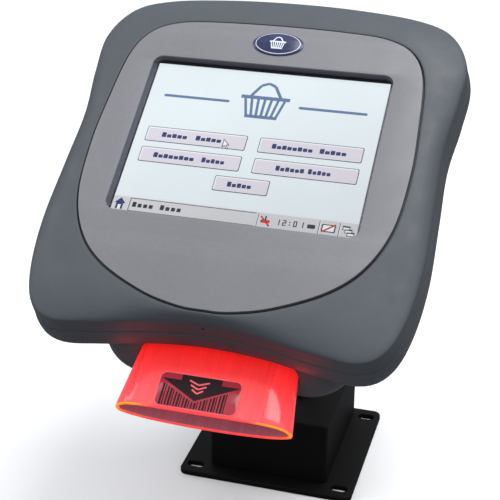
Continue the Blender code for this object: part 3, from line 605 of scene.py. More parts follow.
# ---- head: front shell
side_and_face = flow(stack([
    (push(body, 1.0), PARTING_Z + 0.5), (push(body, 0.7), -7), (push(body, 0.35), -3.4),
    (push(body, 0.12), -2.35), (between(0.985), -1.65), (between(0.9), -0.6), (between(0.72), dome(0.72)),
    (between(0.48), dome(0.48)), (between(0.22), dome(0.22)), (between(0.04), 3.4)]), 5)
gap_edge = stack([(between(0.012), 3.28), (between(0.0), 2.9), (between(0.0), 1.2)])
underside = stack([
    (push(insert, -7), 1.2), (push(insert, -7), -0.8), (between(0.0), -1.0),
    (between(0.45), dome(0.45) - 2.6), (push(body, -2.6), -4.8), (push(body, -1.5), -7.5),
    (push(body, -1.2), PARTING_Z), (push(body, 0.6), PARTING_Z)])
front = loft("front_shell_skin", side_and_face + gap_edge + underside, closed=True)
combine(front, "DIFFERENCE", bar("mic_drill", circle(0.85, 24), -7, 7, "Y", (0, -96, -4.8)))
settle(front, SHELL, "front_shell")

# pale insert with the screen opening, and the frame that slopes from it down to the display; the frame is the
# insert's grey plastic coloured darker and bluer as painted shade
insert_edge = [tuple(p) for p in push(insert, -0.95)]
opening = rounded(OPENING_W, OPENING_H, 5, 16)
insert_plate = sheet("front_insert_plate", [insert_edge, opening], INSERT_TOP - 2.4, INSERT_TOP, 0)
soften(insert_plate, 0.55, 3, 50)
settle(insert_plate, INSERT, "front_insert")

frame_outer = (OPENING_W - 0.1, OPENING_H - 0.1, 5, 16)
frame_inner = (116.5, 88.3, 1.6, 16, 0, 0.75)
outer_line, inner_line = np.array(rounded(*frame_outer)), np.array(rounded(*frame_inner))
slope = [outer_line + (inner_line - outer_line) * s for s in (0.03, 0.5, 0.94)]
frame_rings = stack([(outer_line, 3.3), (slope[0], 3.25), (slope[1], 1.95), (slope[2], 0.62),
                     (inner_line, 0.38), (inner_line, 0.1), (outer_line, 0.1)])
settle(loft("screen_frame", frame_rings, closed=True), BEVEL, "screen_bezel")

# ---- head: display
lcd = slab("display_module", 121.5, 92.5, -4.1, -0.26, 1.2, 0.2)
settle(lcd, SATIN_BLACK, "lcd_panel")
glass = slab("touch_panel_film", 121.8, 92.8, -0.02, 0.08, 2, 0.03, foot=0.02)
settle(glass, GLASS, "touch_panel")

PICTURE_Z, LAYER = -0.245, 0.022


class Art:
    """Thin lit or printed shapes gathered by look."""

    def __init__(self):
        self.groups = {}

    def shape(self, look, outline, layer):
        self.groups.setdefault(look.name, (look, []))[1].append((outline, layer))

    def block(self, look, x0, x1, y0, y1, layer, radius=0.0):
        outline = (rounded(x1 - x0, y1 - y0, min(radius, (y1 - y0) / 2.02, (x1 - x0) / 2.02), 5,
                           (x0 + x1) / 2, (y0 + y1) / 2)
                   if radius else [(x1, y1), (x0, y1), (x0, y0), (x1, y0)])
        self.shape(look, outline, layer)

    def stroke(self, look, points, width, layer):
        """Line of even width, one short block a leg."""
        for (ax, ay), (bx, by) in zip(points, points[1:]):
            length = math.hypot(bx - ax, by - ay)
            ux, uy = (bx - ax) / length * width / 2, (by - ay) / length * width / 2
            self.shape(look, [(ax - uy, ay + ux), (ax + uy, ay - ux),
                              (bx + uy, by - ux), (bx - uy, by + ux)], layer)

    def build(self, base, thickness):
        made = []
        for name, (look, shapes) in self.groups.items():
            bm = bmesh.new()
            for outline, layer in shapes:
                low = base + layer * thickness
                lower = [bm.verts.new((x, y, low)) for x, y in outline]
                upper = [bm.verts.new((x, y, low + thickness * 0.7)) for x, y in outline]
                bm.faces.new(lower)
                bm.faces.new(upper)
                for i in range(len(outline)):
                    j = (i + 1) % len(outline)
                    bm.faces.new((lower[i], lower[j], upper[j], upper[i]))
            made.append((from_bmesh(name, bm, weld=None), look))
        return made

    def place(self, base, thickness, slot, at=HEAD):
        for piece, look in self.build(base, thickness):
            settle(piece, look, at=at)


GROUND = lit("picture_ground", srgb(234, 244, 247))
NAVY = lit("picture_navy", srgb(14, 38, 100))
SLATE = lit("picture_slate", srgb(92, 118, 160))
BUTTON = lit("picture_button", srgb(226, 221, 230))
PALE = lit("picture_pale", srgb(248, 250, 252))
LINE = lit("picture_line", srgb(78, 82, 104))
BAR_GREY = lit("picture_bar", srgb(214, 214, 216))
RED = lit("picture_red", srgb(200, 44, 40))
INK = lit("picture_ink", srgb(26, 28, 40))

art = Art()
half_w, half_h = SCREEN_W / 2, SCREEN_H / 2
art.block(GROUND, -half_w, half_w, -half_h, half_h, 0)



def legs(points, count=6):
    """The same line with each leg cut into equal parts, so that it can follow a dome."""
    cut = [(ax + (bx - ax) * k / count, ay + (by - ay) * k / count)
           for (ax, ay), (bx, by) in zip(points, points[1:]) for k in range(count)]
    return cut + [points[-1]]


def basket(drawing, look, cx, cy, size, layer):
    """Plain shopping basket in one colour: handle, rim, base and slats, the same left and right."""
    lines = [([(-7.7, 2.6), (-3.5, 9.8), (0, 11.4), (3.5, 9.8), (7.7, 2.6)], 1.5),
             ([(-12, 2.6), (12, 2.6)], 2.0), ([(-7.9, -8.6), (7.9, -8.6)], 1.8)]
    lines += [([(k * 3.3, 2.6), (k * 2.4, -8.6)], 1.3) for k in range(-3, 4)]
    for points, width in lines:
        drawing.stroke(look, legs([(cx + x * size, cy + y * size) for x, y in points]), width * size, layer)


# header: a basket between two rules
basket(art, SLATE, 0, 25.5, 1.0, 1)
for x0, x1 in ((-50, -17), (17, 50)):
    art.block(SLATE, x0, x1, 23.6, 25.1, 1, 0.7)

buttons = [(-52.5, -3, 5.5, -3.1, (0.16, 0.42, 0.5, 0.76)), (3, 52.4, 5.5, -3.1, (0.13, 0.53, 0.59, 0.85)),
           (-52.5, -3, -6.3, -14.9, (0.14, 0.55, 0.62, 0.85)),
           (3, 52.4, -6.3, -14.9, (0.22, 0.5, 0.53, 0.75)),
           (-13, 13.2, -18, -26.4, (0.25, 0.7))]
for x0, x1, y1, y0, words in buttons:
    art.block(LINE, x0, x1, y0, y1, 1, 0.9)
    art.block(PALE, x0 + 0.35, x1 - 0.45, y0 + 0.5, y1 - 0.35, 2, 0.7)
    art.block(BUTTON, x0 + 0.9, x1 - 0.6, y0 + 0.65, y1 - 1.0, 3, 0.5)
    middle = (y0 + y1) / 2
    for start, stop in zip(words[::2], words[1::2]):
        a, b = x0 + (x1 - x0) * start, x0 + (x1 - x0) * stop
        pieces = max(2, round((b - a) / 2.4))
        step = (b - a) / pieces
        for k in range(pieces):
            tall = 1.9 if k == 0 else (1.35, 1.25, 1.6)[k % 3]
            art.block(NAVY, a + k * step, a + (k + 1) * step - 0.42,
                      middle - 1.35, middle - 1.35 + 1.45 * tall, 4, 0.35)

# pointer
art.shape(LINE, [(-14.2, 2.6), (-10.6, -1.0), (-12.0, -1.1), (-10.9, -3.0), (-11.9, -3.5), (-12.9, -1.6),
                 (-14.2, -2.6)], 5)
art.shape(PALE, [(-13.8, 1.7), (-11.5, -0.7), (-12.6, -0.8), (-11.5, -2.8), (-11.8, -3.0), (-12.9, -1.0),
                 (-13.8, -1.7)], 6)

# task bar: home mark, title box, tray with a plug, the clock, a card and stacked panes
bar_low, bar_high = -half_h, -34.6
art.block(BAR_GREY, -half_w, half_w, bar_low, bar_high, 1)
art.block(PALE, -half_w, half_w, bar_high - 0.5, bar_high - 0.15, 2)
art.shape(NAVY, [(-56.6, -39), (-53.9, -36), (-51.2, -39), (-52.2, -39), (-52.2, -42.2), (-55.6, -42.2),
                 (-55.6, -39)], 2)
art.block(PALE, -54.6, -53.2, -42.2, -39.8, 3)
art.block(LINE, -49.4, 10.8, -42.6, -35.5, 2)
art.block(BAR_GREY, -49.0, 10.8, -42.3, -35.9, 3)
for k in range(9):
    if k != 4:
        art.block(INK, -47.8 + k * 2.7, -45.9 + k * 2.7, -40.3, -40.3 + (2.7 if k in (0, 5) else 2.0), 4, 0.3)
for x in (11.9, 40.1, 49.3):
    art.block(LINE, x, x + 0.35, -42.6, -35.6, 2)
    art.block(PALE, x + 0.4, x + 0.7, -42.6, -35.6, 2)
art.block(RED, 13.4, 17.8, -40.4, -38.6, 3, 0.8)
art.stroke(RED, [(13.2, -36.9), (17.9, -41.9)], 0.8, 4)
art.stroke(INK, [(15.6, -36.6), (15.6, -38.6)], 0.7, 3)
SEGMENTS = {"0": "abcdef", "1": "bc", "2": "abged"}


def digit(symbol, x, y, width=1.7, height=3.0, thick=0.48):
    """Clock numeral in seven bars."""
    mid = y + height / 2
    bars = {"a": (x, x + width, y + height - thick, y + height), "d": (x, x + width, y, y + thick),
            "g": (x, x + width, mid - thick / 2, mid + thick / 2),
            "b": (x + width - thick, x + width, mid, y + height), "c": (x + width - thick, x + width, y, mid),
            "f": (x, x + thick, mid, y + height), "e": (x, x + thick, y, mid)}
    for key in SEGMENTS[symbol]:
        x0, x1, y0, y1 = bars[key]
        art.block(INK, x0, x1, y0, y1, 3)


for symbol, x in zip("1201", (20.6, 23.6, 28.6, 31.6)):
    digit(symbol, x, -40.6)
art.block(INK, 26.6, 27.2, -40.2, -39.6, 3)
art.block(INK, 26.6, 27.2, -38.8, -38.2, 3)
art.block(INK, 35.0, 38.6, -40.4, -38.3, 3, 0.4)
art.block(INK, 41.4, 47.8, -41.2, -37.2, 3, 0.4)
art.block(PALE, 42.0, 47.2, -40.7, -37.7, 4, 0.3)
art.stroke(RED, [(41.8, -41.3), (47.6, -37.0)], 0.8, 5)
for k in range(3):
    x, y = 50.8 + k * 1.2, -37.4 - k * 1.5
    art.block(INK, x, x + 3.4, y - 1.7, y + 0.5, 3 + k)
    art.block(PALE, x + 0.35, x + 3.05, y - 1.35, y - 0.3, 4 + k)
art.place(PICTURE_Z, LAYER, "lcd_white")

# ---- head: badge
badge_paint = Look("badge_enamel", srgb(26, 34, 68), 0.3)
badge_paint.set("Base Color", badge_paint.mix(badge_paint.span(badge_paint.noise(3, 2.0), 0.35, 0.65, 0, 1),
                                              srgb(22, 30, 62), srgb(34, 44, 82)))
badge_paint.set("Coat Weight", 0.25)
badge_paint.set("Coat Roughness", 0.15)
badge_paint.set("Specular IOR Level", 0.25)
BADGE_Y = 57.6
BADGE_PROFILE = [(0.01, 1.5), (3, 1.46), (6, 1.3), (9, 1.0), (11, 0.66), (12.1, 0.36), (12.7, 0.0)]
badge = turned("badge_dome", [(0.01, -0.12), (12.7, -0.12)] + BADGE_PROFILE[::-1], 96, 0.56)
badge.data.transform(shift(0, BADGE_Y, INSERT_TOP + 0.13))
settle(badge, badge_paint.material, "badge")
badge_print = two_tone("badge_print", srgb(206, 212, 226), 0.3, 1.0, srgb(190, 198, 214), srgb(224, 228, 236))
mark = Art()
basket(mark, badge_print.material, 0, BADGE_Y - 0.4, 0.34, 0)
turns = np.linspace(0, 2 * math.pi, 97)
mark.stroke(badge_print.material, [(11 * math.cos(a), BADGE_Y + 0.56 * 11 * math.sin(a)) for a in turns],
            0.28, 0)
radii, heights = zip(*BADGE_PROFILE)
for piece, look in mark.build(INSERT_TOP + 0.13, 0.06):
    for v in piece.data.vertices:
        out = math.hypot(v.co.x / MM, (v.co.y / MM - BADGE_Y) / 0.56)
        v.co.z += (float(np.interp(out, radii, heights)) + 0.01) * MM
    settle(piece, look)

# ---- head: rear shell
outer = flow(stack([
    (push(body, 1.15), PARTING_Z - GAP - 0.75), (push(body, 1.8), -16.5), (push(body, 0.9), -22.5),
    (shrunk(0.955), -28.5), (shrunk(0.885), -33.6), (shrunk(0.79), -37.1), (shrunk(0.71), -38)]), 5)
rear = loft("rear_shell_skin", [at_depth(push(body, 0.5), PARTING_Z - GAP)] + outer)
inner = loft("inner_tool", stack([
    (push(body, -1.2), PARTING_Z + 3), (push(body, -1.2), PARTING_Z - GAP), (push(body, -0.6), -17),
    (push(body, -1.8), -21.8), (push(shrunk(0.955), -2.3), -27.2), (push(shrunk(0.885), -2.0), -31.6),
    (push(shrunk(0.79), -1.2), -34.7), (shrunk(0.70), -35.5)]))


def pod_ring(z, half_width, low_y, high_y, radius):
    """Section of the scanner pod across the head's depth."""
    return at_depth(rounded(2 * half_width, high_y - low_y, radius, 12, HOOD_X, (high_y + low_y) / 2), z)


pod = loft("pod_tool", flow([pod_ring(*row) for row in POD], 4))
pod_rows = [(z, w - 2.5, b + 2.5, t - 2.5, r - 2.2)
            for z, w, b, t, r in POD[:-2]] + [(-54.8, 52, -91.5, -65, 11)]
pod_inner = loft("pod_inner_tool", [pod_ring(*row) for row in pod_rows])
hood_line = even_points(smooth_closed(HOOD_HALF), 144)
HOOD_MID = np.array([0.0, -33.5])
FLARE_Y, FLARE = (-125.5, -110, -90.5), (1.03, 0.98, 0.92)


def hood_ring(y, grow=0.0):
    """Ring of the hood at a height on the head, flared towards the mouth and grown outwards."""
    line = push(HOOD_MID + (hood_line - HOOD_MID) * float(np.interp(y, FLARE_Y, FLARE)), grow)
    return [(float(x) + HOOD_X, float(y), float(z)) for x, z in line]


socket = loft("socket_tool", [hood_ring(-70, 0.5), hood_ring(-90.5, 0.5), hood_ring(-112, 0.5)])
combine(rear, "UNION", pod)
combine(rear, "DIFFERENCE", inner, pod_inner, socket)

PORT_Y, PORT_TOP, PORT_BACK = 47, -18.8, -36.8
PORTS = [("ethernet_jack", 16, 13.6, -30), ("serial_jack", 13, 13.6, -9),
         ("usb_jack", 14, 7.4, 11), ("power_jack", 9.4, 11, 29)]
MOUNT_SCREWS = [(sx * 37.5, PIVOT_Y + sy * 37.5) for sx in (-1, 1) for sy in (-1, 1)]
HOUSING_SCREWS = [(sx * 76, y) for sx in (-1, 1) for y in (49, -44)]
RESET = (46, PORT_Y)


def window(name, outline_of, z0=-32.0, z1=-38.0):
    """Cutter for a hole in the rear wall with a broken outer edge."""
    return loft(name, [at_depth(outline_of(0), z0), at_depth(outline_of(0), z1 + 0.45),
                       at_depth(outline_of(0.5), z1 - 0.05), at_depth(outline_of(0.5), z1 - 2)])


tools = []
for name, width, height, x in PORTS:
    tools.append(window(name + "_tool", lambda t, w=width, h=height, x=x: rounded(
        w + 0.8 + 2 * t, h + 0.8 + 2 * t, 0.8 + t, 5, x, PORT_Y)))
tools.append(window("reset_tool", lambda t: circle(3.0 + t, 40, *RESET)))
for i, (x, y) in enumerate(MOUNT_SCREWS):
    tools.append(window("mount_tool", lambda t, x=x, y=y: circle(2.2 + t, 32, x, y)))
posts = [bar("post_tool", circle(5.4, 40, x, y), -17.8, -33.5) for x, y in HOUSING_SCREWS]
combine(rear, "UNION", *posts)
for x, y in HOUSING_SCREWS:
    tools.append(bar("sink_tool", circle(3.7, 40, x, y), -42, -22))
    tools.append(bar("hole_tool", circle(2.0, 24, x, y), -24, -10))
combine(rear, "DIFFERENCE", *tools)
settle(rear, SHELL, "rear_shell", crease=26)

# ---- head: scan group
root = HOOD_ROOT - 2
wall = [hood_ring(y) for y in np.linspace(HOOD_MOUTH + 0.7, root, 13)]
lip = [hood_ring(root, 2.0), hood_ring(HOOD_ROOT, 2.0), hood_ring(HOOD_ROOT, -HOOD_WALL)]
inside = [hood_ring(y, g) for y, g in zip(np.linspace(HOOD_ROOT - 0.5, HOOD_MOUTH + 0.7, 13),
                                          np.linspace(-HOOD_WALL, -RIM, 13))]
rim = [hood_ring(HOOD_MOUTH + 0.15, -RIM + 0.2), hood_ring(HOOD_MOUTH, -RIM + 0.5),
       hood_ring(HOOD_MOUTH, -0.5), hood_ring(HOOD_MOUTH + 0.15, -0.2)]
marks = [0] * (len(wall) - 1 + len(lip)) + [2] * len(inside) + [1] * (len(rim) + 1)
hood = loft("scan_hood_shell", wall + lip + inside + rim, closed=True, marks=marks)
# inner face: mauve-grey, half clear, with a faint painted glow
hood_inside = glowing("hood_inside", srgb(150, 50, 58), srgb(128, 92, 106), 0.28, 0.12, 0.1)
settle(hood, [hood_wall(), hood_rim(), hood_inside.material], "scan_hood")

LABEL_W, LABEL_H = 37.5, 16.4
LABEL_TOP, INK_DEPTH = 0.28, 0.03
LABEL = HEAD @ shift(-0.3, -116.2, -24.65) @ Matrix.Rotation(-0.0274, 4, "X")
# the label film and its edge glow with the hood: painted glow
label_look = glowing("label_film", srgb(150, 44, 56), srgb(150, 44, 56), 0.35, 0.12, 0.05)
label_look.set("Coat Weight", 0.05)
label_edge = two_tone("label_edge", srgb(186, 78, 84), 0.3, 2, srgb(196, 80, 84), srgb(214, 100, 104), 0.5)
print_ink = two_tone("label_ink", srgb(30, 16, 20), 0.5, 0.8, srgb(24, 13, 16), srgb(44, 22, 28))
print_ink.set("Specular IOR Level", 0.15)


def label_rings(steps):
    return stack([(rounded(LABEL_W - t, LABEL_H - t, 3 - t / 2, 8), z) for t, z in steps])


settle(loft("hood_label_film", label_rings(((0.2, 0.03), (0, 0.09), (0, 0.21), (0.2, 0.27)))),
       label_look.material, "hood_label", at=LABEL)
edge_ring = loft("hood_label_edge", label_rings(((-0.2, 0.05), (-0.2, 0.29), (0.4, 0.29), (0.4, 0.05))),
                 closed=True)
settle(edge_ring, label_edge.material, at=LABEL)
sign = Art()
ARROW_TOP, SHOULDER, TIP = 8.0, 4.9, -3.9
WING = 18.0
sign.shape(print_ink.material, [(-9.1, ARROW_TOP), (-9.1, SHOULDER), (9.5, SHOULDER), (9.5, ARROW_TOP)], 0)
sign.shape(print_ink.material, [(-WING, SHOULDER + 0.3), (-0.8, TIP), (WING, SHOULDER + 0.3)], 1)
BARS, BAR_START, BAR_PITCH, BAR_WIDTHS = 23, -16.6, 1.332, (0.9, 0.5, 0.7)
for k in range(BARS):                                        # even pitch, three widths in turn: no code
    x, width = BAR_START + k * BAR_PITCH, BAR_WIDTHS[k % 3]
    middle = abs(x + width / 2 + 0.8)
    reach = SHOULDER - 1.1 - (WING - middle) / WING * (SHOULDER - TIP)
    sign.block(print_ink.material, x, x + width, -7.7, min(3.6, reach + 0.1), 0)
sign.place(LABEL_TOP, INK_DEPTH, "label_clear", LABEL)
# the arrow marks glow: painted glow
dash = two_tone("arrow_marks", srgb(196, 70, 78), 0.4, 1, srgb(206, 72, 80), srgb(224, 96, 102), 0.5)
chevrons = Art()
for k in range(3):
    y = 5.6 - k * 2.1
    chevrons.stroke(dash.material, [(-5.2 + k, y), (-0.6, y - 1.7), (4.0 - k, y)], 0.75, 2)
chevrons.place(LABEL_TOP, INK_DEPTH, "label_clear", LABEL)

# ---- head: back of the head
screw_cache = {}


def cross_screw(name, radius, height, shank, length, body, at, stands_for):
    """Pan-head screw with a cross recess, head towards +z."""
    key = (radius, height, shank, length)
    if key not in screw_cache:
        arc = [(radius * math.cos(a), height * (0.3 + 0.7 * math.sin(a)))
               for a in np.linspace(0, math.pi / 2, 7)]
        obj = turned(name, [(0.01, -length), (shank - 0.3, -length), (shank, -length + 0.6), (shank, -0.01),
                            (radius - 0.15, 0), (radius, 0.15)] + arc[:-1] + [(0.01, height)], 40)
        arms = [slab("arm_tool", 0.95, radius * 1.25, height * 0.25, height + 1, 0.2, 0.1),
                slab("arm_tool", radius * 1.25, 0.95, height * 0.25, height + 1, 0.2, 0.1)]
        combine(obj, "DIFFERENCE", *arms)
        screw_cache[key] = obj.data
    else:
        obj = fresh(name, screw_cache[key].copy())
    return settle(obj, ZINC, stands_for, body, at)


FLIP = Matrix.Rotation(math.pi, 4, "X")
MOUNT_BACK = -38 - GAP - SHEET
for kind, spots, z, sizes in (("mount", MOUNT_SCREWS, MOUNT_BACK - GAP, (3.8, 2.6, 1.9, 9)),
                              ("housing", HOUSING_SCREWS, -22.3, (3.2, 2.4, 1.5, 13))):
    for i, (x, y) in enumerate(spots, 1):
        cross_screw("%s_screw_head_%d" % (kind, i), *sizes, "head", HEAD @ shift(x, y, z) @ FLIP,
                    "%s_screw_%d" % (kind, i))

mount_holes = [circle(2.2, 32, x, y) for x, y in MOUNT_SCREWS]
mount = sheet("tilt_mount_plate", [rounded(86, 86, 5, 10, 0, PIVOT_Y)] + mount_holes,
              MOUNT_BACK, MOUNT_BACK + SHEET)
bake(mount)
LUG_OUTER = NECK_INNER - 1 - 2 * GAP
lug_outline = [(PIVOT_Y + 13, MOUNT_BACK + 1.3), (PIVOT_Y - 13, MOUNT_BACK + 1.3)]
lug_outline += [(PIVOT_Y + 8.5 * math.cos(a), PIVOT_Z + 8.5 * math.sin(a))
                for a in np.linspace(math.pi, 2 * math.pi, 25)]
lugs = []
for side in (-1, 1):
    edge_x = side * (LUG_OUTER - NECK_SHEET / 2)
    lug = bar("lug_tool", lug_outline, edge_x - NECK_SHEET / 2, edge_x + NECK_SHEET / 2, "X")
    soften(lug, 0.4)
    bake(lug)
    combine(lug, "DIFFERENCE", bar("lug_bore", circle(PIN_RADIUS + 0.25, 40, PIVOT_Y, PIVOT_Z), -30, 30, "X"))
    lugs.append(lug)
combine(mount, "UNION", *lugs)
settle(mount, BLACK, "tilt_mount")


def cup(name, outline_of, mouth, floor, back):
    """Open box or barrel: mouth towards -z, with a broken edge."""
    rings = [(outline_of(1.5), floor), (outline_of(1.5), mouth + 0.5), (outline_of(1.1), mouth),
             (outline_of(0.3), mouth), (outline_of(0), mouth + 0.3), (outline_of(0), back)]
    return loft(name, stack(rings))


for name, width, height, x in PORTS:
    if name == "power_jack":
        shell = cup("power_barrel", lambda t: rounded(width - 2 * t, height - 2 * t, 4.2 - t, 8, x, PORT_Y),
                    PORT_BACK, PORT_BACK + 9, PORT_TOP)
        settle(shell, CHIP, name)
        post = loft("power_pin", [at_depth(circle(r, 24, x, PORT_Y), z) for r, z in (
            (0.9, PORT_BACK + 9.4), (0.9, PORT_BACK + 1.6), (0.4, PORT_BACK + 0.9))])
        settle(post, GOLD)
        continue
    shell = cup(name + "_can",
                lambda t: rounded(width - 2 * t, height - 2 * t, max(1.0 - 0.5 * t, 0.2), 5, x, PORT_Y),
                PORT_BACK, PORT_BACK + 9, PORT_TOP)
    settle(shell, STEEL, name)
    if name == "usb_jack":
        tongue = slab("usb_tongue", width - 4.4, 1.9, PORT_BACK + 1.2, PORT_BACK + 9.4, 0.4, 0.3,
                      (x, PORT_Y + 0.4))
        settle(tongue, NYLON)
        pins, pin_y, pitch = 4, PORT_Y - 0.75, 2.2
    else:
        pins, pin_y, pitch = (8 if name == "ethernet_jack" else 6), PORT_Y + height / 2 - 2.6, 1.1
    comb = Art()
    for k in range(pins):
        cx = x + (k - (pins - 1) / 2) * pitch
        comb.block(GOLD, cx - 0.28, cx + 0.28, pin_y - 0.25, pin_y + 0.25, 0)
    for piece, look in comb.build(PORT_BACK + 1.8, 9.5):
        piece.name = name + "_contacts"
        settle(piece, look)

button = turned("reset_button_cap", [(0.01, 7), (4, 7), (4, 5.7), (2.75, 5.6), (2.7, 0.5), (2.45, 0.12),
                                     (2.1, 0), (1.2, 0.12), (0.01, 0.2)], 40)
button.data.transform(shift(*RESET, -39.0))
settle(button, SATIN_BLACK, "reset_button", "reset")

# ---- stand
plate = slab("base_plate_coated", PLATE_W, PLATE_D, 0, PLATE_T, 4, 0.7, corner=12)
slots = []
for x in (-SLOT_X, SLOT_X):
    for y in (-SLOT_Y, SLOT_Y):
        slots.append(loft("slot_tool", stack([
            (rounded(9, 4.6, 2.29, 12, x, y), -2), (rounded(9, 4.6, 2.29, 12, x, y), PLATE_T - 0.35),
            (rounded(9.7, 5.3, 2.6, 12, x, y), PLATE_T + 0.02),
            (rounded(9.7, 5.3, 2.6, 12, x, y), PLATE_T + 2)])))
combine(plate, "DIFFERENCE", *slots)
settle(plate, BLACK, "base_plate", "stand", WORLD)

BOX_BOTTOM = PLATE_T + GAP
BOX_TOP = BOX_BOTTOM + BOX_H
box_length, box_mid = BOX_BACK - BOX_FRONT, (BOX_BACK + BOX_FRONT) / 2
NECK_X, NECK_Y = PIN.x / MM, 14
OUTLET_Z = BOX_BOTTOM + 17
fold = [(1.3 * (1 - math.cos(a)), BOX_TOP - 1.3 + 1.3 * math.sin(a)) for a in np.linspace(0, math.pi / 2, 6)]
box_rings = [(SHEET + 0.4, BOX_TOP - SHEET), (SHEET, BOX_TOP - SHEET - 0.4), (SHEET, BOX_BOTTOM),
             (0.2, BOX_BOTTOM), (0, BOX_BOTTOM + 0.2)] + fold
pedestal = loft("pedestal_folded", [
    at_depth(rounded(BOX_W - 2 * t, box_length - 2 * t, max(2.5 - t, 0.4), 8, 0, box_mid), z)
    for t, z in box_rings])
foot_holes = [(sx * 11, sy * 15) for sx in (-1, 1) for sy in (-1, 1)]
cuts = [bar("drill", circle(2.3, 24, NECK_X + x, NECK_Y + y), BOX_TOP - 5, BOX_TOP + 3)
        for x, y in foot_holes]
cuts.append(bar("drill", circle(7, 32, NECK_X, NECK_Y), BOX_TOP - 5, BOX_TOP + 3))
cuts.append(bar("drill", circle(8, 48), -6, 6, "Y", (0, BOX_BACK, OUTLET_Z)))
combine(pedestal, "DIFFERENCE", *cuts)
settle(pedestal, BLACK, "pedestal_box", "stand", WORLD)

grommet = tube("cable_grommet_ring", [
    (5.5, 2.4), (9.2, 2.4), (9.7, 2.0), (9.8, 1.2), (9.8, 0.3), (7.7, 0.3), (7.7, -2.3),
    (9.6, -2.3), (9.6, -3.9), (9.3, -4.1), (5.5, -4.1), (5.2, -3.8), (5.2, 2.1)])
grommet_at = shift(0, BOX_BACK, OUTLET_Z) @ Matrix.Rotation(-math.pi / 2, 4, "X")
settle(grommet, RUBBER, "cable_grommet", "stand", grommet_at)

# neck: a folded channel trimmed to its side silhouette
FOOT = BOX_TOP + GAP
pin_y, pin_z = PIN.y / MM - NECK_Y, PIN.z / MM - FOOT
outer_x = NECK_INNER + NECK_SHEET
tall = pin_z + 14
bend = [(outer_x - 3.2 + 3.2 * math.sin(a), 3.2 - 3.2 * math.cos(a)) for a in np.linspace(0, math.pi / 2, 7)]
inner_bend = [(NECK_INNER - 0.8 + 0.8 * math.sin(a), NECK_SHEET + 0.8 - 0.8 * math.cos(a))
              for a in np.linspace(0, math.pi / 2, 5)]
right = bend + [(outer_x, tall), (NECK_INNER, tall)] + inner_bend[::-1]
channel = right + [(-x, z) for x, z in reversed(right)]
neck = loft("neck_channel", [[(x, y, z) for x, z in channel] for y in (-48, 26)])
arc = [(pin_y + 11 * math.cos(a), pin_z + 11 * math.sin(a))
       for a in np.linspace(math.radians(-12), math.radians(192), 33)]
silhouette = [(-23, 4.5), (-23, -1), (23, -1), (23, 4.5), (19.5, 8)] + arc + [(-20.5, 8)]
combine(neck, "INTERSECT", bar("silhouette_tool", silhouette, -40, 40, "X"))
drills = [bar("drill", circle(PIN_RADIUS + 0.25, 40, pin_y, pin_z), -40, 40, "X"),
          bar("drill", circle(6, 32), -5, 5)]
drills += [bar("drill", rounded(8, 4.4, 2.19, 8, x, y), -5, 5) for x, y in foot_holes]
combine(neck, "DIFFERENCE", *drills)
soften(neck, 0.35, 2, 50)
settle(neck, BLACK, "neck_bracket", "stand", shift(NECK_X, NECK_Y, FOOT))
for i, (x, y) in enumerate(foot_holes, 1):
    cross_screw("neck_screw_head_%d" % i, 3.8, 2.6, 1.9, 10, "stand",
                shift(NECK_X + x, NECK_Y + y, FOOT + NECK_SHEET + GAP), "neck_screw_%d" % i)

at_pin = Matrix.Translation(PIN)
half_pin = outer_x + 11.2
shaft = bar("tilt_pin_bolt", circle(PIN_RADIUS, 40), -outer_x - 0.5, half_pin, "X")
soften(shaft, 0.5)
bake(shaft)
hexagon = bar("hex_tool", circle(5.8, 6), -outer_x - 4.3, -outer_x - GAP, "X")
soften(hexagon, 0.5)
bake(hexagon)
combine(shaft, "UNION", hexagon)
settle(shaft, ZINC, "tilt_pin", "stand", at_pin)
for side, name in ((-1, "left"), (1, "right")):
    middle = side * (NECK_INNER - GAP - 0.5)
    washer = tube("friction_washer_disc_" + name, [(3.25, -0.4), (3.4, -0.5), (7.8, -0.5), (8, -0.35),
                                                   (8, 0.35), (7.8, 0.5), (3.4, 0.5), (3.25, 0.4)])
    settle(washer, NYLON, "friction_washer_" + name, "stand",
           at_pin @ Matrix.Translation((middle * MM, 0, 0)) @ Matrix.Rotation(math.pi / 2, 4, "Y"))


def lobed(radius, depth, sides=120):
    """Outline of the knob's grip with six lobes."""
    return [((radius + depth * math.cos(12 * math.pi * i / sides)) * math.cos(2 * math.pi * i / sides),
             (radius + depth * math.cos(12 * math.pi * i / sides)) * math.sin(2 * math.pi * i / sides))
            for i in range(sides)]


knob_rings = [(circle(PIN_RADIUS + 0.25, 120), 0.1), (circle(6.3, 120), 0.1), (circle(6.5, 120), 0.4),
              (circle(6.5, 120), 5.6), (lobed(10.6, 0.9), 6.0), (lobed(11.8, 1.2), 6.5),
              (lobed(12.2, 1.3), 7.4), (lobed(12.2, 1.3), 13.2), (lobed(11.9, 1.25), 14.2),
              (lobed(11.2, 1.1), 14.8), (lobed(10.2, 0.9), 15.0),
              (circle(8.2, 120), 14.9), (circle(7.6, 120), 14.3), (circle(PIN_RADIUS + 0.5, 120), 14.1),
              (circle(PIN_RADIUS + 0.25, 120), 13.8)]
knob = loft("tilt_knob_grip", stack(knob_rings), closed=True)
settle(knob, SATIN_BLACK, "tilt_knob", "knob",
       at_pin @ Matrix.Translation(((outer_x + GAP) * MM, 0, 0)) @ Matrix.Rotation(math.pi / 2, 4, "Y"), 40)

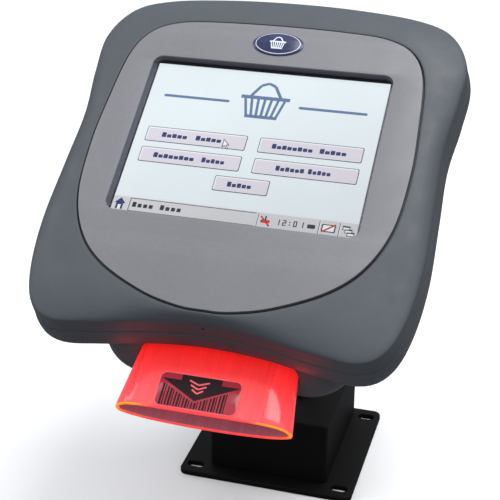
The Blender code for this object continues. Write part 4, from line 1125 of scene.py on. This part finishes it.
# ---- CAD pieces that keep their shape
window_look = glowing("scan_window_glow", srgb(255, 40, 40), srgb(255, 60, 60), 2.5, 0.1, 0.05)
CARRIED = {"microphone": SATIN_BLACK, "lcd_tray": STEEL, "backlight_board": BOARD, "main_board": BOARD,
           "processor_shield": STEEL, "memory_module": CHIP, "lcd_ribbon": RIBBON, "reset_switch": CHIP,
           "scan_engine": CHIP, "scan_lens": LENS, "led_board": BOARD, "scan_board": BOARD,
           "speaker": SATIN_BLACK,
           "scan_window": window_look.material}
for node, look in CARRIED.items():
    frame["nodes"][node].data.materials.clear()
    frame["nodes"][node].data.materials.append(look)

# ---- studio
floor_look = Look("studio_floor", (0.86, 0.86, 0.86, 1), 0.75)
pale = floor_look.mix(floor_look.noise(60, 3.0), (0.86, 0.86, 0.865, 1), (0.89, 0.89, 0.89, 1))
direct = floor_look.add("ShaderNodeLightPath").outputs["Is Camera Ray"]
# the floor bounces little light back up
floor_look.set("Base Color", floor_look.mix(direct, (0.2, 0.2, 0.21, 1), pale))
floor_mesh = bpy.data.meshes.new("studio_floor")
bm = bmesh.new()
bmesh.ops.create_grid(bm, x_segments=8, y_segments=8, size=4.0)
bm.to_mesh(floor_mesh)
bm.free()
floor_mesh.materials.append(floor_look.material)
floor = fresh("studio_floor", floor_mesh)

world = bpy.data.worlds.new("studio")
world.use_nodes = True
sky = world.node_tree
height = sky.nodes.new("ShaderNodeSeparateXYZ")
sky.links.new(sky.nodes.new("ShaderNodeTexCoord").outputs["Generated"], height.inputs["Vector"])
fade = sky.nodes.new("ShaderNodeMapRange")
for key, value in (("From Min", -0.1), ("From Max", 0.85), ("To Min", 0.1), ("To Max", 1.15)):
    fade.inputs[key].default_value = value
sky.links.new(height.outputs["Z"], fade.inputs["Value"])
sky.nodes["Background"].inputs["Color"].default_value = (0.93, 0.96, 1.0, 1)
backdrop = sky.nodes.new("ShaderNodeMath")                   # the camera itself sees a plain pale room
backdrop.operation = "MAXIMUM"
sky.links.new(fade.outputs["Result"], backdrop.inputs[0])
sky.links.new(sky.nodes.new("ShaderNodeLightPath").outputs["Is Camera Ray"], backdrop.inputs[1])
sky.links.new(backdrop.outputs["Value"], sky.nodes["Background"].inputs["Strength"])
bpy.context.scene.world = world
bpy.context.scene.view_settings.view_transform = "Standard"


def softbox(name, place, size, power, colour=(1, 1, 1)):
    """Rectangular light turned towards the middle of the kiosk."""
    light = bpy.data.lights.new(name, "AREA")
    light.shape = "RECTANGLE"
    light.size, light.size_y = size
    light.energy = power
    light.color = colour
    obj = fresh(name, light)
    obj.location = place
    obj.rotation_euler = (Vector(AIM) - Vector(place)).to_track_quat("-Z", "Y").to_euler()


AIM = (0, 0, 0.15)
softbox("overhead", (0.35, 0.05, 1.3), (0.8, 0.8), 14)
softbox("left_fill", (-1.1, -0.1, 1.0), (0.6, 0.6), 4)
softbox("front_fill", (-0.4, -1.3, 1.1), (0.9, 0.7), 3, (0.95, 0.97, 1.0))
for side in (-1, 1):
    glow = bpy.data.lights.new("hood_glow", "POINT")
    glow.energy = 0.0025
    glow.specular_factor = 0.0
    glow.color = (1.0, 0.06, 0.05)
    glow.shadow_soft_size = 0.006
    lamp = fresh("hood_glow_%s" % ("left" if side < 0 else "right"), glow)
    lamp.matrix_world = HEAD @ shift(HOOD_X + side * 40, -106, -24)
    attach(lamp, "head")

camera_data = bpy.data.cameras.new("camera")
camera_data.lens = 90.9
camera_data.sensor_width = 36
camera_data.clip_start = 0.02
camera = fresh("camera", camera_data)
right_axis = Vector((0.960, 0.280, 0.002)).normalized()
forward = Vector((-0.251, 0.8648, -0.4347)).normalized()
up_axis = right_axis.cross(forward).normalized()
right_axis = forward.cross(up_axis).normalized()
camera.matrix_world = Matrix.Translation((0.1459, -0.5708, 0.4045)) @ Matrix(
    (right_axis, up_axis, -forward)).transposed().to_4x4()
bpy.context.scene.camera = camera
